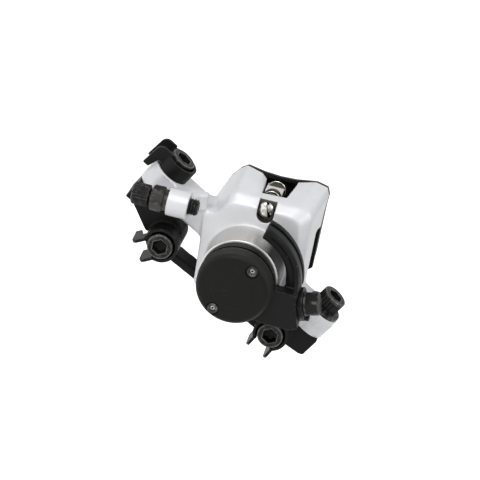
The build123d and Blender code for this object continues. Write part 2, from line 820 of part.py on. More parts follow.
with BuildPart() as piston_seal:
    with BuildSketch(caliper_plane(outer_plate_back + piston_groove_start)):
        Circle(piston_radius)
        Circle(piston_radius - ring_seal_section, mode=Mode.SUBTRACT)
    extrude(amount=ring_seal_height)
save(piston_seal, "piston_seal")

with BuildPart() as piston_guide_pins:
    with BuildSketch(caliper_plane(guide_pin_depth)):
        with Locations(guide_pin_places):
            Circle(guide_pin_radius)
    extrude(amount=guide_pin_length)
save(piston_guide_pins, "piston_guide_pins")

# Balls between the piston and the shaft's flange, kept apart by a cage
cage_thickness = 0.4
cage_radius = cam_bore_radius - guide_pin_radius - loose_fit
cage_hole_radius = 3.0

with BuildPart() as ramp_balls:
    for angle in ball_angles:
        with Locations(polar_point(angle, ball_track_radius, ball_depth)):
            Sphere(ball_radius)
save(ramp_balls, "ramp_balls")

with BuildPart() as ball_cage:
    with BuildSketch(caliper_plane(ball_depth - cage_thickness / 2)):
        Circle(cage_radius)
        Circle(cage_hole_radius, mode=Mode.SUBTRACT)
        with PolarLocations(ball_track_radius, ball_count):
            Circle(race_radius, mode=Mode.SUBTRACT)
    extrude(amount=cage_thickness)
save(ball_cage, "ball_cage")

# Shaft that the arm turns, with its flange under the balls
flange_radius = cam_bore_radius - 2 * seat_fit - loose_fit
shaft_flat = 3.0
nut_height = 2.4
nut_across = 10.0
arm_washer_thickness = 0.6
arm_washer_radius = 6.0
thread_tail = 0.2
drive_length = arm_hub_thickness - seat_fit
tail_length = seat_fit + arm_washer_thickness + nut_height + thread_tail

with BuildPart() as arm_shaft:
    with BuildSketch(caliper_plane(flange_depth)):
        Circle(flange_radius)
    extrude(amount=flange_thickness)
    with BuildSketch(caliper_plane(thrust_depth)):
        Circle(shaft_radius)
    extrude(amount=arm_hub_depth - thrust_depth)
    with BuildSketch(caliper_plane(arm_hub_depth)):
        Circle(shaft_radius)
        Rectangle(2 * casting_reach, 2 * shaft_flat, mode=Mode.INTERSECT)
    extrude(amount=drive_length)
    with BuildSketch(caliper_plane(cap_depth - seat_fit)):
        Circle(thread_radius)
    extrude(amount=tail_length)
    for angle in ball_angles:
        cut_track(angle, -ball_turn, 0)
save(arm_shaft, "arm_shaft")

with BuildPart() as thrust_washer:
    with BuildSketch(caliper_plane(thrust_depth)):
        Circle(flange_radius)
        Circle(shaft_radius + running_fit, mode=Mode.SUBTRACT)
    extrude(amount=thrust_thickness)
save(thrust_washer, "thrust_washer")

with BuildPart() as shaft_bush:
    with BuildSketch(caliper_plane(web_depth)):
        Circle(bush_seat_radius)
        Circle(shaft_radius + running_fit, mode=Mode.SUBTRACT)
    extrude(amount=boss_rim_depth - web_depth)
save(shaft_bush, "shaft_bush")

# Dust washer that closes the well under the arm
with BuildPart() as hub_dust_seal:
    with BuildSketch(caliper_plane(boss_rim_depth)):
        Circle(arm_hub_radius)
        Circle(well_radius, mode=Mode.SUBTRACT)
    extrude(amount=loose_fit)
save(hub_dust_seal, "hub_dust_seal")

# Return spring, coiled in the well, with one leg in the casting and one in the arm
wire_radius = 0.7
spring_pitch = 2.1
spring_height = 6.3
spring_leg_drop = 1.6
spring_leg_rise = 1.4
spring_start = well_depth + wire_radius + loose_fit
spring_end = spring_start + spring_height
arm_leg_depth = arm_hub_depth + spring_leg_rise

with BuildPart() as coil_at_origin:
    with BuildLine() as coil:
        Helix(spring_pitch, spring_height, spring_circle_radius)
    with BuildSketch(Plane(origin=coil.line @ 0, z_dir=coil.line % 0)):
        Circle(wire_radius)
    sweep(path=coil.line, is_frenet=True)
with BuildPart() as return_spring:
    add(caliper_plane(spring_start).location * coil_at_origin.part)
    for start, end in ((spring_start, well_depth - spring_leg_drop), (spring_end, arm_leg_depth)):
        with BuildSketch(caliper_plane(start)):
            with Locations((spring_circle_radius, 0)):
                Circle(wire_radius)
        extrude(amount=end - start)
        with Locations(caliper_point(spring_circle_radius, 0, start)):
            Sphere(wire_radius)
save(return_spring, "return_spring")

# Arm, a hub on the shaft with a web out to the cable horn and the cable's clamp seat
horn_start_angle = 72.0
horn_end_y = 0.7
horn_front_depth = 22.0
groove_width = 2.2
groove_floor_thickness = 1.4
arm_slot_angle = 6.2
clamp_stand = 0.6
clamp_y = -5.5
clamp_depth = 18.6
clamp_tilt = 15.4
clamp_half_length = 6.0
clamp_radius = 2.5
clamp_hole_depth = 6.5
channel_depth = 15.0
cap_screw_radius = 1.5
cap_screw_margin = 3.1
cap_screw_angle = 57.5
cap_screw_grip = 4.2
arm_web_shares = [
    (1.06, -0.52), (0.98, -0.56), (0.85, -0.56), (0.62, -0.56), (0.35, -0.53), (0.3, 0.045),
    (0.8, 0.06), (1.0, 0.045),
]
clamp_x = horn_outer_radius + clamp_stand
groove_floor_radius = horn_inner_radius + groove_floor_thickness
arm_slot_radius = arm_slot_width / 2
arm_slot_circle = arm_slot_inner_radius + arm_slot_radius
clamp_along = Vector(sin(radians(clamp_tilt)), -cos(radians(clamp_tilt)), 0)
clamp_out = across * cos(radians(clamp_tilt)) + away * sin(radians(clamp_tilt))
clamp_top = Vector(clamp_x, clamp_y, 0) - clamp_along * clamp_half_length
clamp_foot = Vector(clamp_x, clamp_y, 0) + clamp_along * clamp_half_length
clamp_seat = Plane(origin=caliper_point(clamp_x, clamp_y, clamp_depth), x_dir=outboard, z_dir=clamp_out)
channel_plane = Plane(
    origin=caliper_point(clamp_top.X, clamp_top.Y, channel_depth),
    x_dir=outboard,
    z_dir=across * clamp_along.X + away * clamp_along.Y,
)
horn_start = Vector(cos(radians(horn_start_angle)), sin(radians(horn_start_angle)), 0) * slot_reach
cap_screw_circle = arm_hub_radius - cap_screw_margin
cap_screw_x = cap_screw_circle * cos(radians(cap_screw_angle))
cap_screw_y = cap_screw_circle * sin(radians(cap_screw_angle))
cap_screw_places = [(-cap_screw_x, -cap_screw_y), (cap_screw_x, cap_screw_y)]
arm_web_points = [(clamp_top.X, clamp_top.Y), (clamp_foot.X, clamp_foot.Y)]
arm_web_points += shared_points(arm_web_shares, horn_outer_radius, horn_outer_radius)

with BuildPart() as actuating_arm:
    with BuildSketch(caliper_plane(arm_back_depth)):
        with BuildLine():
            Polyline(arm_web_points, close=True)
        make_face()
        Circle(arm_slot_inner_radius, mode=Mode.SUBTRACT)
    extrude(amount=arm_front_depth - arm_back_depth)
    with BuildSketch(caliper_plane(arm_hub_depth)):
        with BuildLine():
            Polyline(arm_web_points, close=True)
        make_face()
        Circle(arm_hub_radius)
    extrude(amount=arm_front_depth - arm_hub_depth)
    with BuildSketch(caliper_plane(arm_hub_depth)):
        Circle(arm_hub_radius)
    extrude(amount=arm_hub_thickness)
    with BuildSketch(caliper_plane(arm_back_depth)):
        Circle(horn_outer_radius)
        Circle(horn_inner_radius, mode=Mode.SUBTRACT)
        with BuildLine():
            Polyline([(0, horn_end_y), (horn_start.X, horn_start.Y), (slot_reach, horn_end_y)], close=True)
        make_face(mode=Mode.INTERSECT)
    extrude(amount=horn_front_depth - arm_back_depth)
    with BuildSketch(caliper_plane(arm_back_depth)):
        with Locations(
            (arm_slot_circle * cos(radians(arm_slot_angle)), arm_slot_circle * sin(radians(arm_slot_angle)))
        ):
            Circle(arm_slot_radius)
    extrude(amount=arm_hub_depth - arm_back_depth, mode=Mode.SUBTRACT)
    with BuildSketch(caliper_plane(cable_depth - groove_width / 2)):
        Circle(horn_outer_radius + overrun)
        Circle(groove_floor_radius, mode=Mode.SUBTRACT)
        with Locations((0, slot_reach / 2)):
            Rectangle(2 * slot_reach, slot_reach, mode=Mode.INTERSECT)
    extrude(amount=groove_width, mode=Mode.SUBTRACT)
    with BuildSketch(caliper_plane(arm_hub_depth)):
        Circle(shaft_radius + seat_fit)
        Rectangle(2 * casting_reach, 2 * (shaft_flat + seat_fit), mode=Mode.INTERSECT)
    extrude(amount=arm_hub_thickness, mode=Mode.SUBTRACT)
    with BuildSketch(caliper_plane(arm_hub_depth)):
        with Locations((spring_circle_radius, 0)):
            Circle(spring_hole_radius)
    extrude(amount=spring_hole_drop, mode=Mode.SUBTRACT)
    with BuildSketch(caliper_plane(cap_depth)):
        with Locations(cap_screw_places):
            Circle(cap_screw_radius + hole_fit)
    extrude(amount=-cap_screw_grip - loose_fit, mode=Mode.SUBTRACT)
    with BuildSketch(clamp_seat):
        Circle(clamp_radius + hole_fit)
    extrude(amount=-clamp_hole_depth - loose_fit, mode=Mode.SUBTRACT)
    with BuildSketch(channel_plane):
        Circle(cable_radius)
    extrude(amount=2 * clamp_half_length + overrun, mode=Mode.SUBTRACT)
save(actuating_arm, "actuating_arm")

# Cable clamp, a plate under a hex bolt
clamp_plate_radius = 6.0
clamp_plate_thickness = 1.9
clamp_tab_width = 3.0
clamp_tab_height = 1.2
clamp_hex = 8.0
clamp_head_height = 5.2

with BuildPart() as cable_clamp_plate:
    with BuildSketch(clamp_seat):
        Circle(clamp_plate_radius)
    extrude(amount=clamp_plate_thickness)
    with BuildSketch(clamp_seat.offset(clamp_plate_thickness)):
        with Locations((0, clamp_plate_radius - clamp_tab_height / 2)):
            Rectangle(clamp_tab_width, clamp_tab_height)
    extrude(amount=clamp_tab_height)
    with BuildSketch(clamp_seat):
        Circle(clamp_radius + seat_fit)
    extrude(amount=clamp_plate_thickness, mode=Mode.SUBTRACT)
    with BuildSketch(channel_plane):
        Circle(cable_radius)
    extrude(amount=2 * clamp_half_length + overrun, mode=Mode.SUBTRACT)
save(cable_clamp_plate, "cable_clamp_plate")

with BuildPart() as cable_clamp_bolt:
    with BuildSketch(clamp_seat.offset(clamp_plate_thickness)):
        RegularPolygon(clamp_hex / 2, 6, major_radius=False)
    extrude(amount=clamp_head_height)
    with BuildSketch(clamp_seat.offset(clamp_plate_thickness)):
        Circle(clamp_radius)
    extrude(amount=-clamp_hole_depth - clamp_plate_thickness)
save(cable_clamp_bolt, "cable_clamp_bolt")

# Washer and nut that hold the arm on the shaft, under the cap
with BuildPart() as arm_washer:
    with BuildSketch(caliper_plane(cap_depth)):
        Circle(arm_washer_radius)
        Circle(thread_radius + seat_fit, mode=Mode.SUBTRACT)
    extrude(amount=arm_washer_thickness)
save(arm_washer, "arm_washer")

with BuildPart() as arm_nut:
    with BuildSketch(caliper_plane(cap_depth + arm_washer_thickness)):
        RegularPolygon(nut_across / 2, 6, major_radius=False)
        Circle(thread_radius + seat_fit, mode=Mode.SUBTRACT)
    extrude(amount=nut_height)
save(arm_nut, "arm_nut")

# Cap over the arm's hub, and its two screws
cap_cavity_radius = arm_washer_radius + loose_fit
cap_roof = 1.2
cap_round = 2.2
cap_badge_radius = 7.5
cap_badge_height = 0.2
cap_head_radius = 1.9
cap_head_height = 1.2
cap_taper = 5.5
cap_front_depth = cap_depth + cap_height
cap_screw_seat_depth = cap_front_depth - cap_roof

with BuildPart() as arm_cap:
    with BuildSketch(caliper_plane(cap_depth)):
        Circle(arm_hub_radius)
    extrude(amount=cap_height, taper=cap_taper)
    fillet(arm_cap.edges().filter_by(GeomType.CIRCLE).sort_by(Axis.Y)[0], cap_round)
    with BuildSketch(caliper_plane(cap_front_depth)):
        Circle(cap_badge_radius)
    extrude(amount=cap_badge_height)
    with BuildSketch(caliper_plane(cap_depth)):
        Circle(cap_cavity_radius)
    extrude(amount=cap_height - cap_roof, mode=Mode.SUBTRACT)
    with BuildSketch(caliper_plane(cap_depth)):
        with Locations(cap_screw_places):
            Circle(cap_screw_radius + hole_fit)
    extrude(amount=cap_height, mode=Mode.SUBTRACT)
    with BuildSketch(caliper_plane(cap_screw_seat_depth)):
        with Locations(cap_screw_places):
            Circle(cap_head_radius + hole_fit)
    extrude(amount=cap_roof, mode=Mode.SUBTRACT)
save(arm_cap, "arm_cap")

with BuildPart() as arm_cap_screws:
    with BuildSketch(caliper_plane(cap_screw_seat_depth)):
        with Locations(cap_screw_places):
            Circle(cap_head_radius)
    extrude(amount=cap_head_height)
    with BuildSketch(caliper_plane(cap_screw_seat_depth)):
        with Locations(cap_screw_places):
            Circle(cap_screw_radius)
    extrude(amount=cap_depth - cap_screw_grip - cap_screw_seat_depth)
    with BuildSketch(caliper_plane(cap_screw_seat_depth + cap_head_height)):
        with Locations(cap_screw_places):
            RegularPolygon(cap_screw_radius / 2, 6)
    extrude(amount=-cap_head_height / 2, mode=Mode.SUBTRACT)
save(arm_cap_screws, "arm_cap_screws")

# Barrel adjuster in the casting's boss, with its lock nut
knob_start = 36.8
knob_end = 42.9
knob_radius = 4.0
barrel_stem_start = 19.0
housing_radius = 2.55
housing_depth = 5.4
cable_hole_radius = 1.0
lock_nut_across = 8.0
lock_nut_collar_radius = 3.9
lock_nut_collar_length = 1.7
lock_nut_end = 36.0
boss_end = barrel_boss_start + barrel_boss_length


def barrel_plane(reach):
    return Plane(origin=caliper_point(-reach, barrel_y, barrel_depth), x_dir=away, z_dir=across * -1)


with BuildPart() as barrel_adjuster:
    with BuildSketch(barrel_plane(barrel_stem_start)):
        Circle(thread_radius)
    extrude(amount=knob_start - barrel_stem_start)
    with BuildSketch(barrel_plane(knob_start)):
        Circle(knob_radius)
    extrude(amount=knob_end - knob_start)
    with BuildSketch(barrel_plane(barrel_stem_start)):
        Circle(cable_hole_radius)
    extrude(amount=knob_end - barrel_stem_start, mode=Mode.SUBTRACT)
    with BuildSketch(barrel_plane(knob_end)):
        Circle(housing_radius)
    extrude(amount=-housing_depth, mode=Mode.SUBTRACT)
save(barrel_adjuster, "barrel_adjuster")

with BuildPart() as barrel_lock_nut:
    with BuildSketch(barrel_plane(boss_end)):
        Circle(lock_nut_collar_radius)
    extrude(amount=lock_nut_collar_length)
    with BuildSketch(barrel_plane(boss_end + lock_nut_collar_length)):
        RegularPolygon(lock_nut_across / 2, 6, major_radius=False)
    extrude(amount=lock_nut_end - boss_end - lock_nut_collar_length)
    with BuildSketch(barrel_plane(boss_end)):
        Circle(thread_radius + running_fit)
    extrude(amount=lock_nut_end - boss_end, mode=Mode.SUBTRACT)
save(barrel_lock_nut, "barrel_lock_nut")

# Foot behind the inboard pad, and the dial that drives it
with BuildPart() as pusher_foot:
    with BuildSketch(caliper_plane(inner_plate_back)):
        Circle(foot_radius)
    extrude(amount=-foot_thickness)
    with BuildSketch(caliper_plane(inner_plate_back - foot_thickness)):
        Circle(stem_radius)
        Rectangle(2 * casting_reach, 2 * stem_flat, mode=Mode.INTERSECT)
    extrude(amount=-stem_length)
save(pusher_foot, "pusher_foot")

with BuildPart() as adjuster_dial:
    with BuildSketch(caliper_plane(dial_depth)):
        Circle(dial_radius)
    extrude(amount=-dial_body_length)
    with BuildSketch(caliper_plane(dial_depth - dial_body_length)):
        Circle(dial_neck_radius)
    extrude(amount=-dial_neck_length)
    with BuildSketch(caliper_plane(dial_depth)):
        Circle(stem_radius + running_fit)
    extrude(amount=-dial_bore_length, mode=Mode.SUBTRACT)
    with BuildSketch(caliper_plane(dial_depth - dial_body_length - dial_neck_length)):
        RegularPolygon(hex_across / 2, 6, major_radius=False)
    extrude(amount=dial_hex_depth, mode=Mode.SUBTRACT)
save(adjuster_dial, "adjuster_dial")

with BuildPart() as dial_retaining_ring:
    with BuildSketch(caliper_plane(ring_depth)):
        Circle(dial_radius + ring_bite)
        Circle(dial_radius + ring_bite - ring_section, mode=Mode.SUBTRACT)
        with Locations((0, dial_radius)):
            Rectangle(ring_gap, dial_radius, mode=Mode.SUBTRACT)
    extrude(amount=-ring_thickness)
save(dial_retaining_ring, "dial_retaining_ring")
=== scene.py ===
import bpy
import bmesh
import json
import math
from mathutils import Matrix, Vector


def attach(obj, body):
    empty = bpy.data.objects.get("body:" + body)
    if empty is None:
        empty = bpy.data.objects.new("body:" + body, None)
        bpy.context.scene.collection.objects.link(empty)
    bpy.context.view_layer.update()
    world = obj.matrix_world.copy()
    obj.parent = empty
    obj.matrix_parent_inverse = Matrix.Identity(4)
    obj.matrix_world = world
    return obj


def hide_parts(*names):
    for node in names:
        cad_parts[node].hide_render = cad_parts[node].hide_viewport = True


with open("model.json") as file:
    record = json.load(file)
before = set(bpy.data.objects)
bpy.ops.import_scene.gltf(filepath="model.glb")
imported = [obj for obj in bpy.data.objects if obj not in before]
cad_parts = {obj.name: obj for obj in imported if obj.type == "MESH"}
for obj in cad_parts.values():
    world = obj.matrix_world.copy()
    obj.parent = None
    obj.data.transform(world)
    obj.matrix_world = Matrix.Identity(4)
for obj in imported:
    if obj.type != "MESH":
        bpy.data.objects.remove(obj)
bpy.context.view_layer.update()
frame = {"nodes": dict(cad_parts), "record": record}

# Sizes that the solids have too, in millimetres as in the part's source, while meshes are in metres
MM = 0.001
POST_PITCH = 74.0
POST_SHIFT = 2.85
POST_OFFSET = 5.0
POST_SEAT = 18.5
BRACKET_PITCH = 51.0
BRACKET_LEAN = math.radians(3.36)
BRACKET_SEAT = 9.2
FRONT_DEPTH = 8.0
BOSS_RADIUS = 14.3
BOSS_RIM = 21.5
CAM_BORE = 10.0
BARREL_AWAY = 20.2
BARREL_DEPTH = 17.0
PIN_ACROSS = 3.5
PIN_AWAY = 21.2
PIN_DEPTH = 4.6
HORN_INNER = 18.0
HORN_OUTER = 22.4
ARM_FRONT = 27.0
THREAD_RADIUS = 3.0
HEAD_RADIUS = 4.7
HEAD_HEIGHT = 5.7
HEX_ACROSS = 5.0
HEX_DEPTH = 3.2

# The caliper leans, and its places are (across, away, depth) from the hub, with depth outboard
LEAN = math.radians(31.0)
UP = Vector((0, 0, 1))
OUT = Vector((0, -1, 0))
ACROSS = Vector((math.cos(LEAN), 0, math.sin(LEAN)))
AWAY = Vector((-math.sin(LEAN), 0, math.cos(LEAN)))
HUB = Vector((1.05, -POST_OFFSET, 13.6))
BODY_OF = {node: body for body, nodes in frame["record"]["behaviour"]["bodies"].items() for node in nodes}


def spot(across, away, depth):
    return HUB + ACROSS * across + AWAY * away + OUT * depth


def polar(radius, angle, depth):
    return spot(radius * math.cos(angle), radius * math.sin(angle), depth)


def caliper_place(point):
    # Takes a point back to (across, away, depth)
    offset = point - HUB
    return offset.dot(ACROSS), offset.dot(AWAY), offset.dot(OUT)


def post_seat(side):
    # Where a post bolt's head sits, on the left for -1 and on the right for 1
    return Vector((side * POST_PITCH / 2 - POST_SHIFT, -POST_OFFSET, POST_SEAT))


def bracket_seat(side):
    along_row = Vector((math.cos(BRACKET_LEAN), 0, math.sin(BRACKET_LEAN)))
    return along_row * (side * BRACKET_PITCH / 2) + OUT * (POST_OFFSET + BRACKET_SEAT)


POSTS = [post_seat(side) for side in (-1, 1)]
BRACKETS = [bracket_seat(side) for side in (-1, 1)]

# Camera at the photograph's angle, far off so that the view is nearly parallel.
# The photograph's middle is measured from the point between the post bolts' heads.
CAMERA_SIDE = math.radians(-8.427)
CAMERA_RISE = math.radians(24.64)
CAMERA_ROLL = math.radians(45.687)
CAMERA_REACH = 700.0
AIM_LEFT = 7.67
AIM_DOWN = 4.72
SENSOR = 36.0
PHOTO_WIDTH = 480
PIXELS_PER_MM = 2.786
level = Vector((math.cos(CAMERA_SIDE), math.sin(CAMERA_SIDE), 0))
VIEW_BACK = level.cross(UP) * math.cos(CAMERA_RISE) + UP * math.sin(CAMERA_RISE)
upright = VIEW_BACK.cross(level)
VIEW_RIGHT = level * math.cos(CAMERA_ROLL) + upright * math.sin(CAMERA_ROLL)
VIEW_UP = upright * math.cos(CAMERA_ROLL) - level * math.sin(CAMERA_ROLL)
between_heads = Vector((-POST_SHIFT, -POST_OFFSET, POST_SEAT + 6.0))
aim = between_heads - VIEW_RIGHT * AIM_LEFT - VIEW_UP * AIM_DOWN


def new_object(name, data):
    made = bpy.data.objects.new(name, data)
    bpy.context.scene.collection.objects.link(made)
    return made


camera = new_object("camera", bpy.data.cameras.new("camera"))
camera.data.sensor_width = SENSOR
camera.data.lens = PIXELS_PER_MM * SENSOR * CAMERA_REACH / PHOTO_WIDTH
camera.data.clip_start = 0.01
camera.data.clip_end = 20.0
turn = Matrix((VIEW_RIGHT, VIEW_UP, VIEW_BACK)).transposed()
camera.matrix_world = Matrix.Translation((aim + VIEW_BACK * CAMERA_REACH) * MM) @ turn.to_4x4()
bpy.context.scene.camera = camera
bpy.context.scene.view_settings.view_transform = "Standard"


# Shader nodes: each function adds to a node tree and gives the socket with its result
def feed(tree, socket, value):
    # Links the socket to another one, or sets it to a plain value
    if isinstance(value, bpy.types.NodeSocket):
        tree.links.new(value, socket)
    elif socket.type == "RGBA":
        socket.default_value = (*value, 1.0)
    else:
        socket.default_value = value


def add_node(tree, kind, values):
    node = tree.nodes.new("ShaderNode" + kind)
    for name, value in values.items():
        feed(tree, node.inputs[name], value)
    return node


def calculate(tree, operation, *values):
    step = tree.nodes.new("ShaderNodeMath")
    step.operation = operation
    for socket, value in zip(step.inputs, values):
        feed(tree, socket, value)
    return step.outputs["Value"]


def product(tree, first, *others):
    for other in others:
        first = calculate(tree, "MULTIPLY", first, other)
    return first


def noise(tree, scale, detail=3.0, stretch=None):
    place = tree.nodes.new("ShaderNodeTexCoord").outputs["Object"]
    if stretch:
        place = add_node(tree, "Mapping", {"Vector": place, "Scale": stretch}).outputs["Vector"]
    values = {"Vector": place, "Scale": scale, "Detail": detail, "Roughness": 0.6}
    return add_node(tree, "TexNoise", values).outputs["Fac"]


def spread(tree, value, low, high, start=0.3, end=0.7):
    # Goes from low to high while the value goes from start to end
    values = {"Value": value, "From Min": start, "From Max": end, "To Min": low, "To Max": high}
    return add_node(tree, "MapRange", values).outputs["Result"]


def tint(tree, share, first, second):
    # Goes from the first colour to the second while the share goes from zero to one
    blend = tree.nodes.new("ShaderNodeMix")
    blend.data_type = "RGBA"
    for name, value in (("Factor", share), ("A", first), ("B", second)):
        feed(tree, blend.inputs[name], value)
    return blend.outputs["Result"]


def along(tree, axis):
    # Distance in millimetres from the hub along an axis, which rides with the piece
    place = tree.nodes.new("ShaderNodeTexCoord").outputs["Object"]
    reach = tree.nodes.new("ShaderNodeVectorMath")
    reach.operation = "DOT_PRODUCT"
    feed(tree, reach.inputs[0], place)
    feed(tree, reach.inputs[1], axis / MM)
    return calculate(tree, "SUBTRACT", reach.outputs["Value"], HUB.dot(axis))


def within(tree, value, low, high, ease=0.12):
    # One between low and high, and zero outside
    rise = spread(tree, value, 0.0, 1.0, low - ease, low + ease)
    fall = spread(tree, value, 1.0, 0.0, high - ease, high + ease)
    return product(tree, rise, fall)


def span(tree, first, second):
    # Length of two offsets at right angles taken together
    squares = [product(tree, value, value) for value in (first, second)]
    return calculate(tree, "POWER", calculate(tree, "ADD", *squares), 0.5)


def relief(tree, surface, value, strength, height):
    bump = add_node(tree, "Bump", {"Height": value, "Strength": strength, "Distance": height * MM})
    feed(tree, surface.inputs["Normal"], bump.outputs["Normal"])


# Materials, whose noise scales are in waves per metre and whose relief is in millimetres.
# Wear on edges, paler so that it also paints highlights there, starts and ends at two values of Pointiness,
# which is 0.5 on a flat face.
CLOUD_SCALE = 90.0
SCUFF_SCALE = 600.0
MARK_SCALE = 700.0
WEAR_AND_HIGHLIGHT_START = 0.515
WEAR_AND_HIGHLIGHT_END = 0.57
CAP_TOP = 32.6

# Where the casting's paint gives way, and where shade is painted on the boss and in the pad pin's recess, as
# caliper places
PAINTED_SHADE_ACROSS = (7.2, 17.0)
PAINTED_SHADE_AWAY = (3.6, 12.6)
PAINTED_SHADE_DEPTH = (0.0, BOSS_RIM - 0.4)
BARE_RADIUS = (BOSS_RADIUS - 2.3, BOSS_RADIUS + 0.6)
BARE_DEPTH = (FRONT_DEPTH + 0.7, BOSS_RIM + 1.0)
RECESS_RADIUS = 3.2
RECESS_MIDDLE = PIN_AWAY - 1.55
RECESS_AWAY = (14.0, 24.75)
RECESS_DEPTH = (4.4, 7.6)


def shader(name, colour, roughness, metallic=0.0, specular=0.5, coat=0.0):
    material = bpy.data.materials.new(name)
    material.use_nodes = True
    surface = material.node_tree.nodes["Principled BSDF"]
    values = {"Base Color": colour, "Roughness": roughness, "Metallic": metallic,
              "Specular IOR Level": specular, "Coat Weight": coat, "Coat Roughness": 0.25}
    for label, value in values.items():
        feed(material.node_tree, surface.inputs[label], value)
    return material, material.node_tree, surface


def paint(name, colour, worn_and_highlight, roughness, metallic=0.0, grain=2500.0, depth=0.03, specular=0.5, coat=0.0):
    # Sprayed paint over metal: fine texture, cloudy gloss, and worn convex edges in a paler colour, which
    # also paints highlights on them
    material, tree, surface = shader(name, colour, roughness, metallic, specular, coat)
    cloud = noise(tree, CLOUD_SCALE, 4.0)
    feed(tree, surface.inputs["Roughness"], spread(tree, cloud, roughness - 0.06, roughness + 0.08))
    dim = [tone * 0.9 for tone in colour]
    base = tint(tree, spread(tree, cloud, 0.0, 1.0), dim, colour)
    bend = tree.nodes.new("ShaderNodeNewGeometry").outputs["Pointiness"]
    edge = spread(tree, bend, 0.0, 1.0, WEAR_AND_HIGHLIGHT_START, WEAR_AND_HIGHLIGHT_END)
    scuff = spread(tree, noise(tree, SCUFF_SCALE), 0.0, 1.0, 0.45, 0.7)
    feed(tree, surface.inputs["Base Color"], tint(tree, product(tree, edge, scuff), base, worn_and_highlight))
    relief(tree, surface, noise(tree, grain, 2.0), 0.25, depth)
    return material


def steel(name, colour, roughness, stretch=(1, 1, 12)):
    # Turned or rolled steel, with fine marks along one way
    material, tree, surface = shader(name, colour, roughness, 1.0)
    marks = noise(tree, MARK_SCALE, 3.0, stretch)
    feed(tree, surface.inputs["Roughness"], spread(tree, marks, roughness - 0.08, roughness + 0.1))
    dim = [tone * 0.82 for tone in colour]
    feed(tree, surface.inputs["Base Color"], tint(tree, spread(tree, marks, 0.0, 1.0), dim, colour))
    relief(tree, surface, marks, 0.12, 0.02)
    return material


def overpaint(material, share, colour):
    # Lays a colour over what the surface has, as far as the share goes
    tree = material.node_tree
    base = tree.nodes["Principled BSDF"].inputs["Base Color"]
    feed(tree, base, tint(tree, share, base.links[0].from_socket, colour))


def casting_paint():
    # Silver paint, bare turned metal on the boss with painted shade below the horn, and painted shade in the
    # recess round the pad pin
    material = paint("silver_paint", (0.76, 0.765, 0.79), (0.8, 0.8, 0.82), 0.38, 0.1, 3000.0, coat=0.1)
    tree = material.node_tree
    across = along(tree, ACROSS)
    away = along(tree, AWAY)
    depth = along(tree, OUT)

    bare = product(tree, within(tree, span(tree, across, away), *BARE_RADIUS),
                   within(tree, depth, *BARE_DEPTH, ease=0.3))
    metallic = tree.nodes["Principled BSDF"].inputs["Metallic"]
    feed(tree, metallic, spread(tree, bare, 0.1, 0.75, 0.0, 1.0))
    # Painted shade: the bare boss goes near-black below the horn, standing in for the horn's shadow and its
    # dark reflection
    painted_shade = product(tree, within(tree, away, *PAINTED_SHADE_AWAY, ease=1.7),
                    within(tree, across, *PAINTED_SHADE_ACROSS, ease=1.5),
                    within(tree, depth, *PAINTED_SHADE_DEPTH, ease=0.2))
    overpaint(material, bare, tint(tree, painted_shade, (0.62, 0.61, 0.59), (0.006, 0.006, 0.005)))

    # Painted shade: dark brown in the recess round the pad pin, where shade falls
    beside = calculate(tree, "SUBTRACT", across, PIN_ACROSS)
    below = calculate(tree, "MINIMUM", calculate(tree, "SUBTRACT", away, RECESS_MIDDLE), 0.0)
    recess = product(tree, within(tree, span(tree, beside, below), -1.0, RECESS_RADIUS, ease=0.06),
                     within(tree, away, *RECESS_AWAY, ease=0.06),
                     within(tree, depth, *RECESS_DEPTH, ease=0.1))
    overpaint(material, recess, (0.045, 0.04, 0.034))
    return material


def cap_paint():
    # Matt plastic, with a painted sheen: paler on the cap's sloping side than on its face
    material = paint("cap_plastic", (0.0085, 0.0095, 0.008), (0.02, 0.02, 0.019), 0.5,
                     grain=3500.0, depth=0.02, specular=0.12)
    tree = material.node_tree
    side = spread(tree, along(tree, OUT), 1.0, 0.0, CAP_TOP - 2.0, CAP_TOP - 0.4)
    overpaint(material, side, (0.022, 0.023, 0.019))
    return material


def blackened(name, colour, worn_and_highlight, roughness, specular):
    # Steel with a thin dark finish, which shows the tool marks
    return paint(name, colour, worn_and_highlight, roughness, grain=1500.0, depth=0.02, specular=specular)


SILVER = casting_paint()
BLACK_CAST = paint("black_paint", (0.0075, 0.0082, 0.0075), (0.04, 0.04, 0.038), 0.46, specular=0.11)
BLACK_ARM = paint("black_arm_paint", (0.0072, 0.008, 0.0072), (0.1, 0.1, 0.096), 0.42, specular=0.12)
CAP = cap_paint()
BLACK_STEEL = blackened("blackened_steel", (0.008, 0.008, 0.0076), (0.17, 0.17, 0.16), 0.36, 0.16)
CAP_SCREW = blackened("cap_screw_steel", (0.014, 0.014, 0.013), (0.3, 0.3, 0.29), 0.32, 0.35)
NUT_STEEL = blackened("nut_steel", (0.014, 0.0128, 0.0104), (0.14, 0.13, 0.11), 0.4, 0.3)
# Grey for the bolts' rims: worn steel that is also a painted highlight
EDGE_WEAR_AND_HIGHLIGHT = paint("edge_wear_and_highlight_steel", (0.06, 0.06, 0.057), (0.16, 0.16, 0.15), 0.34, 0.1, 1500.0, 0.02, 0.4)
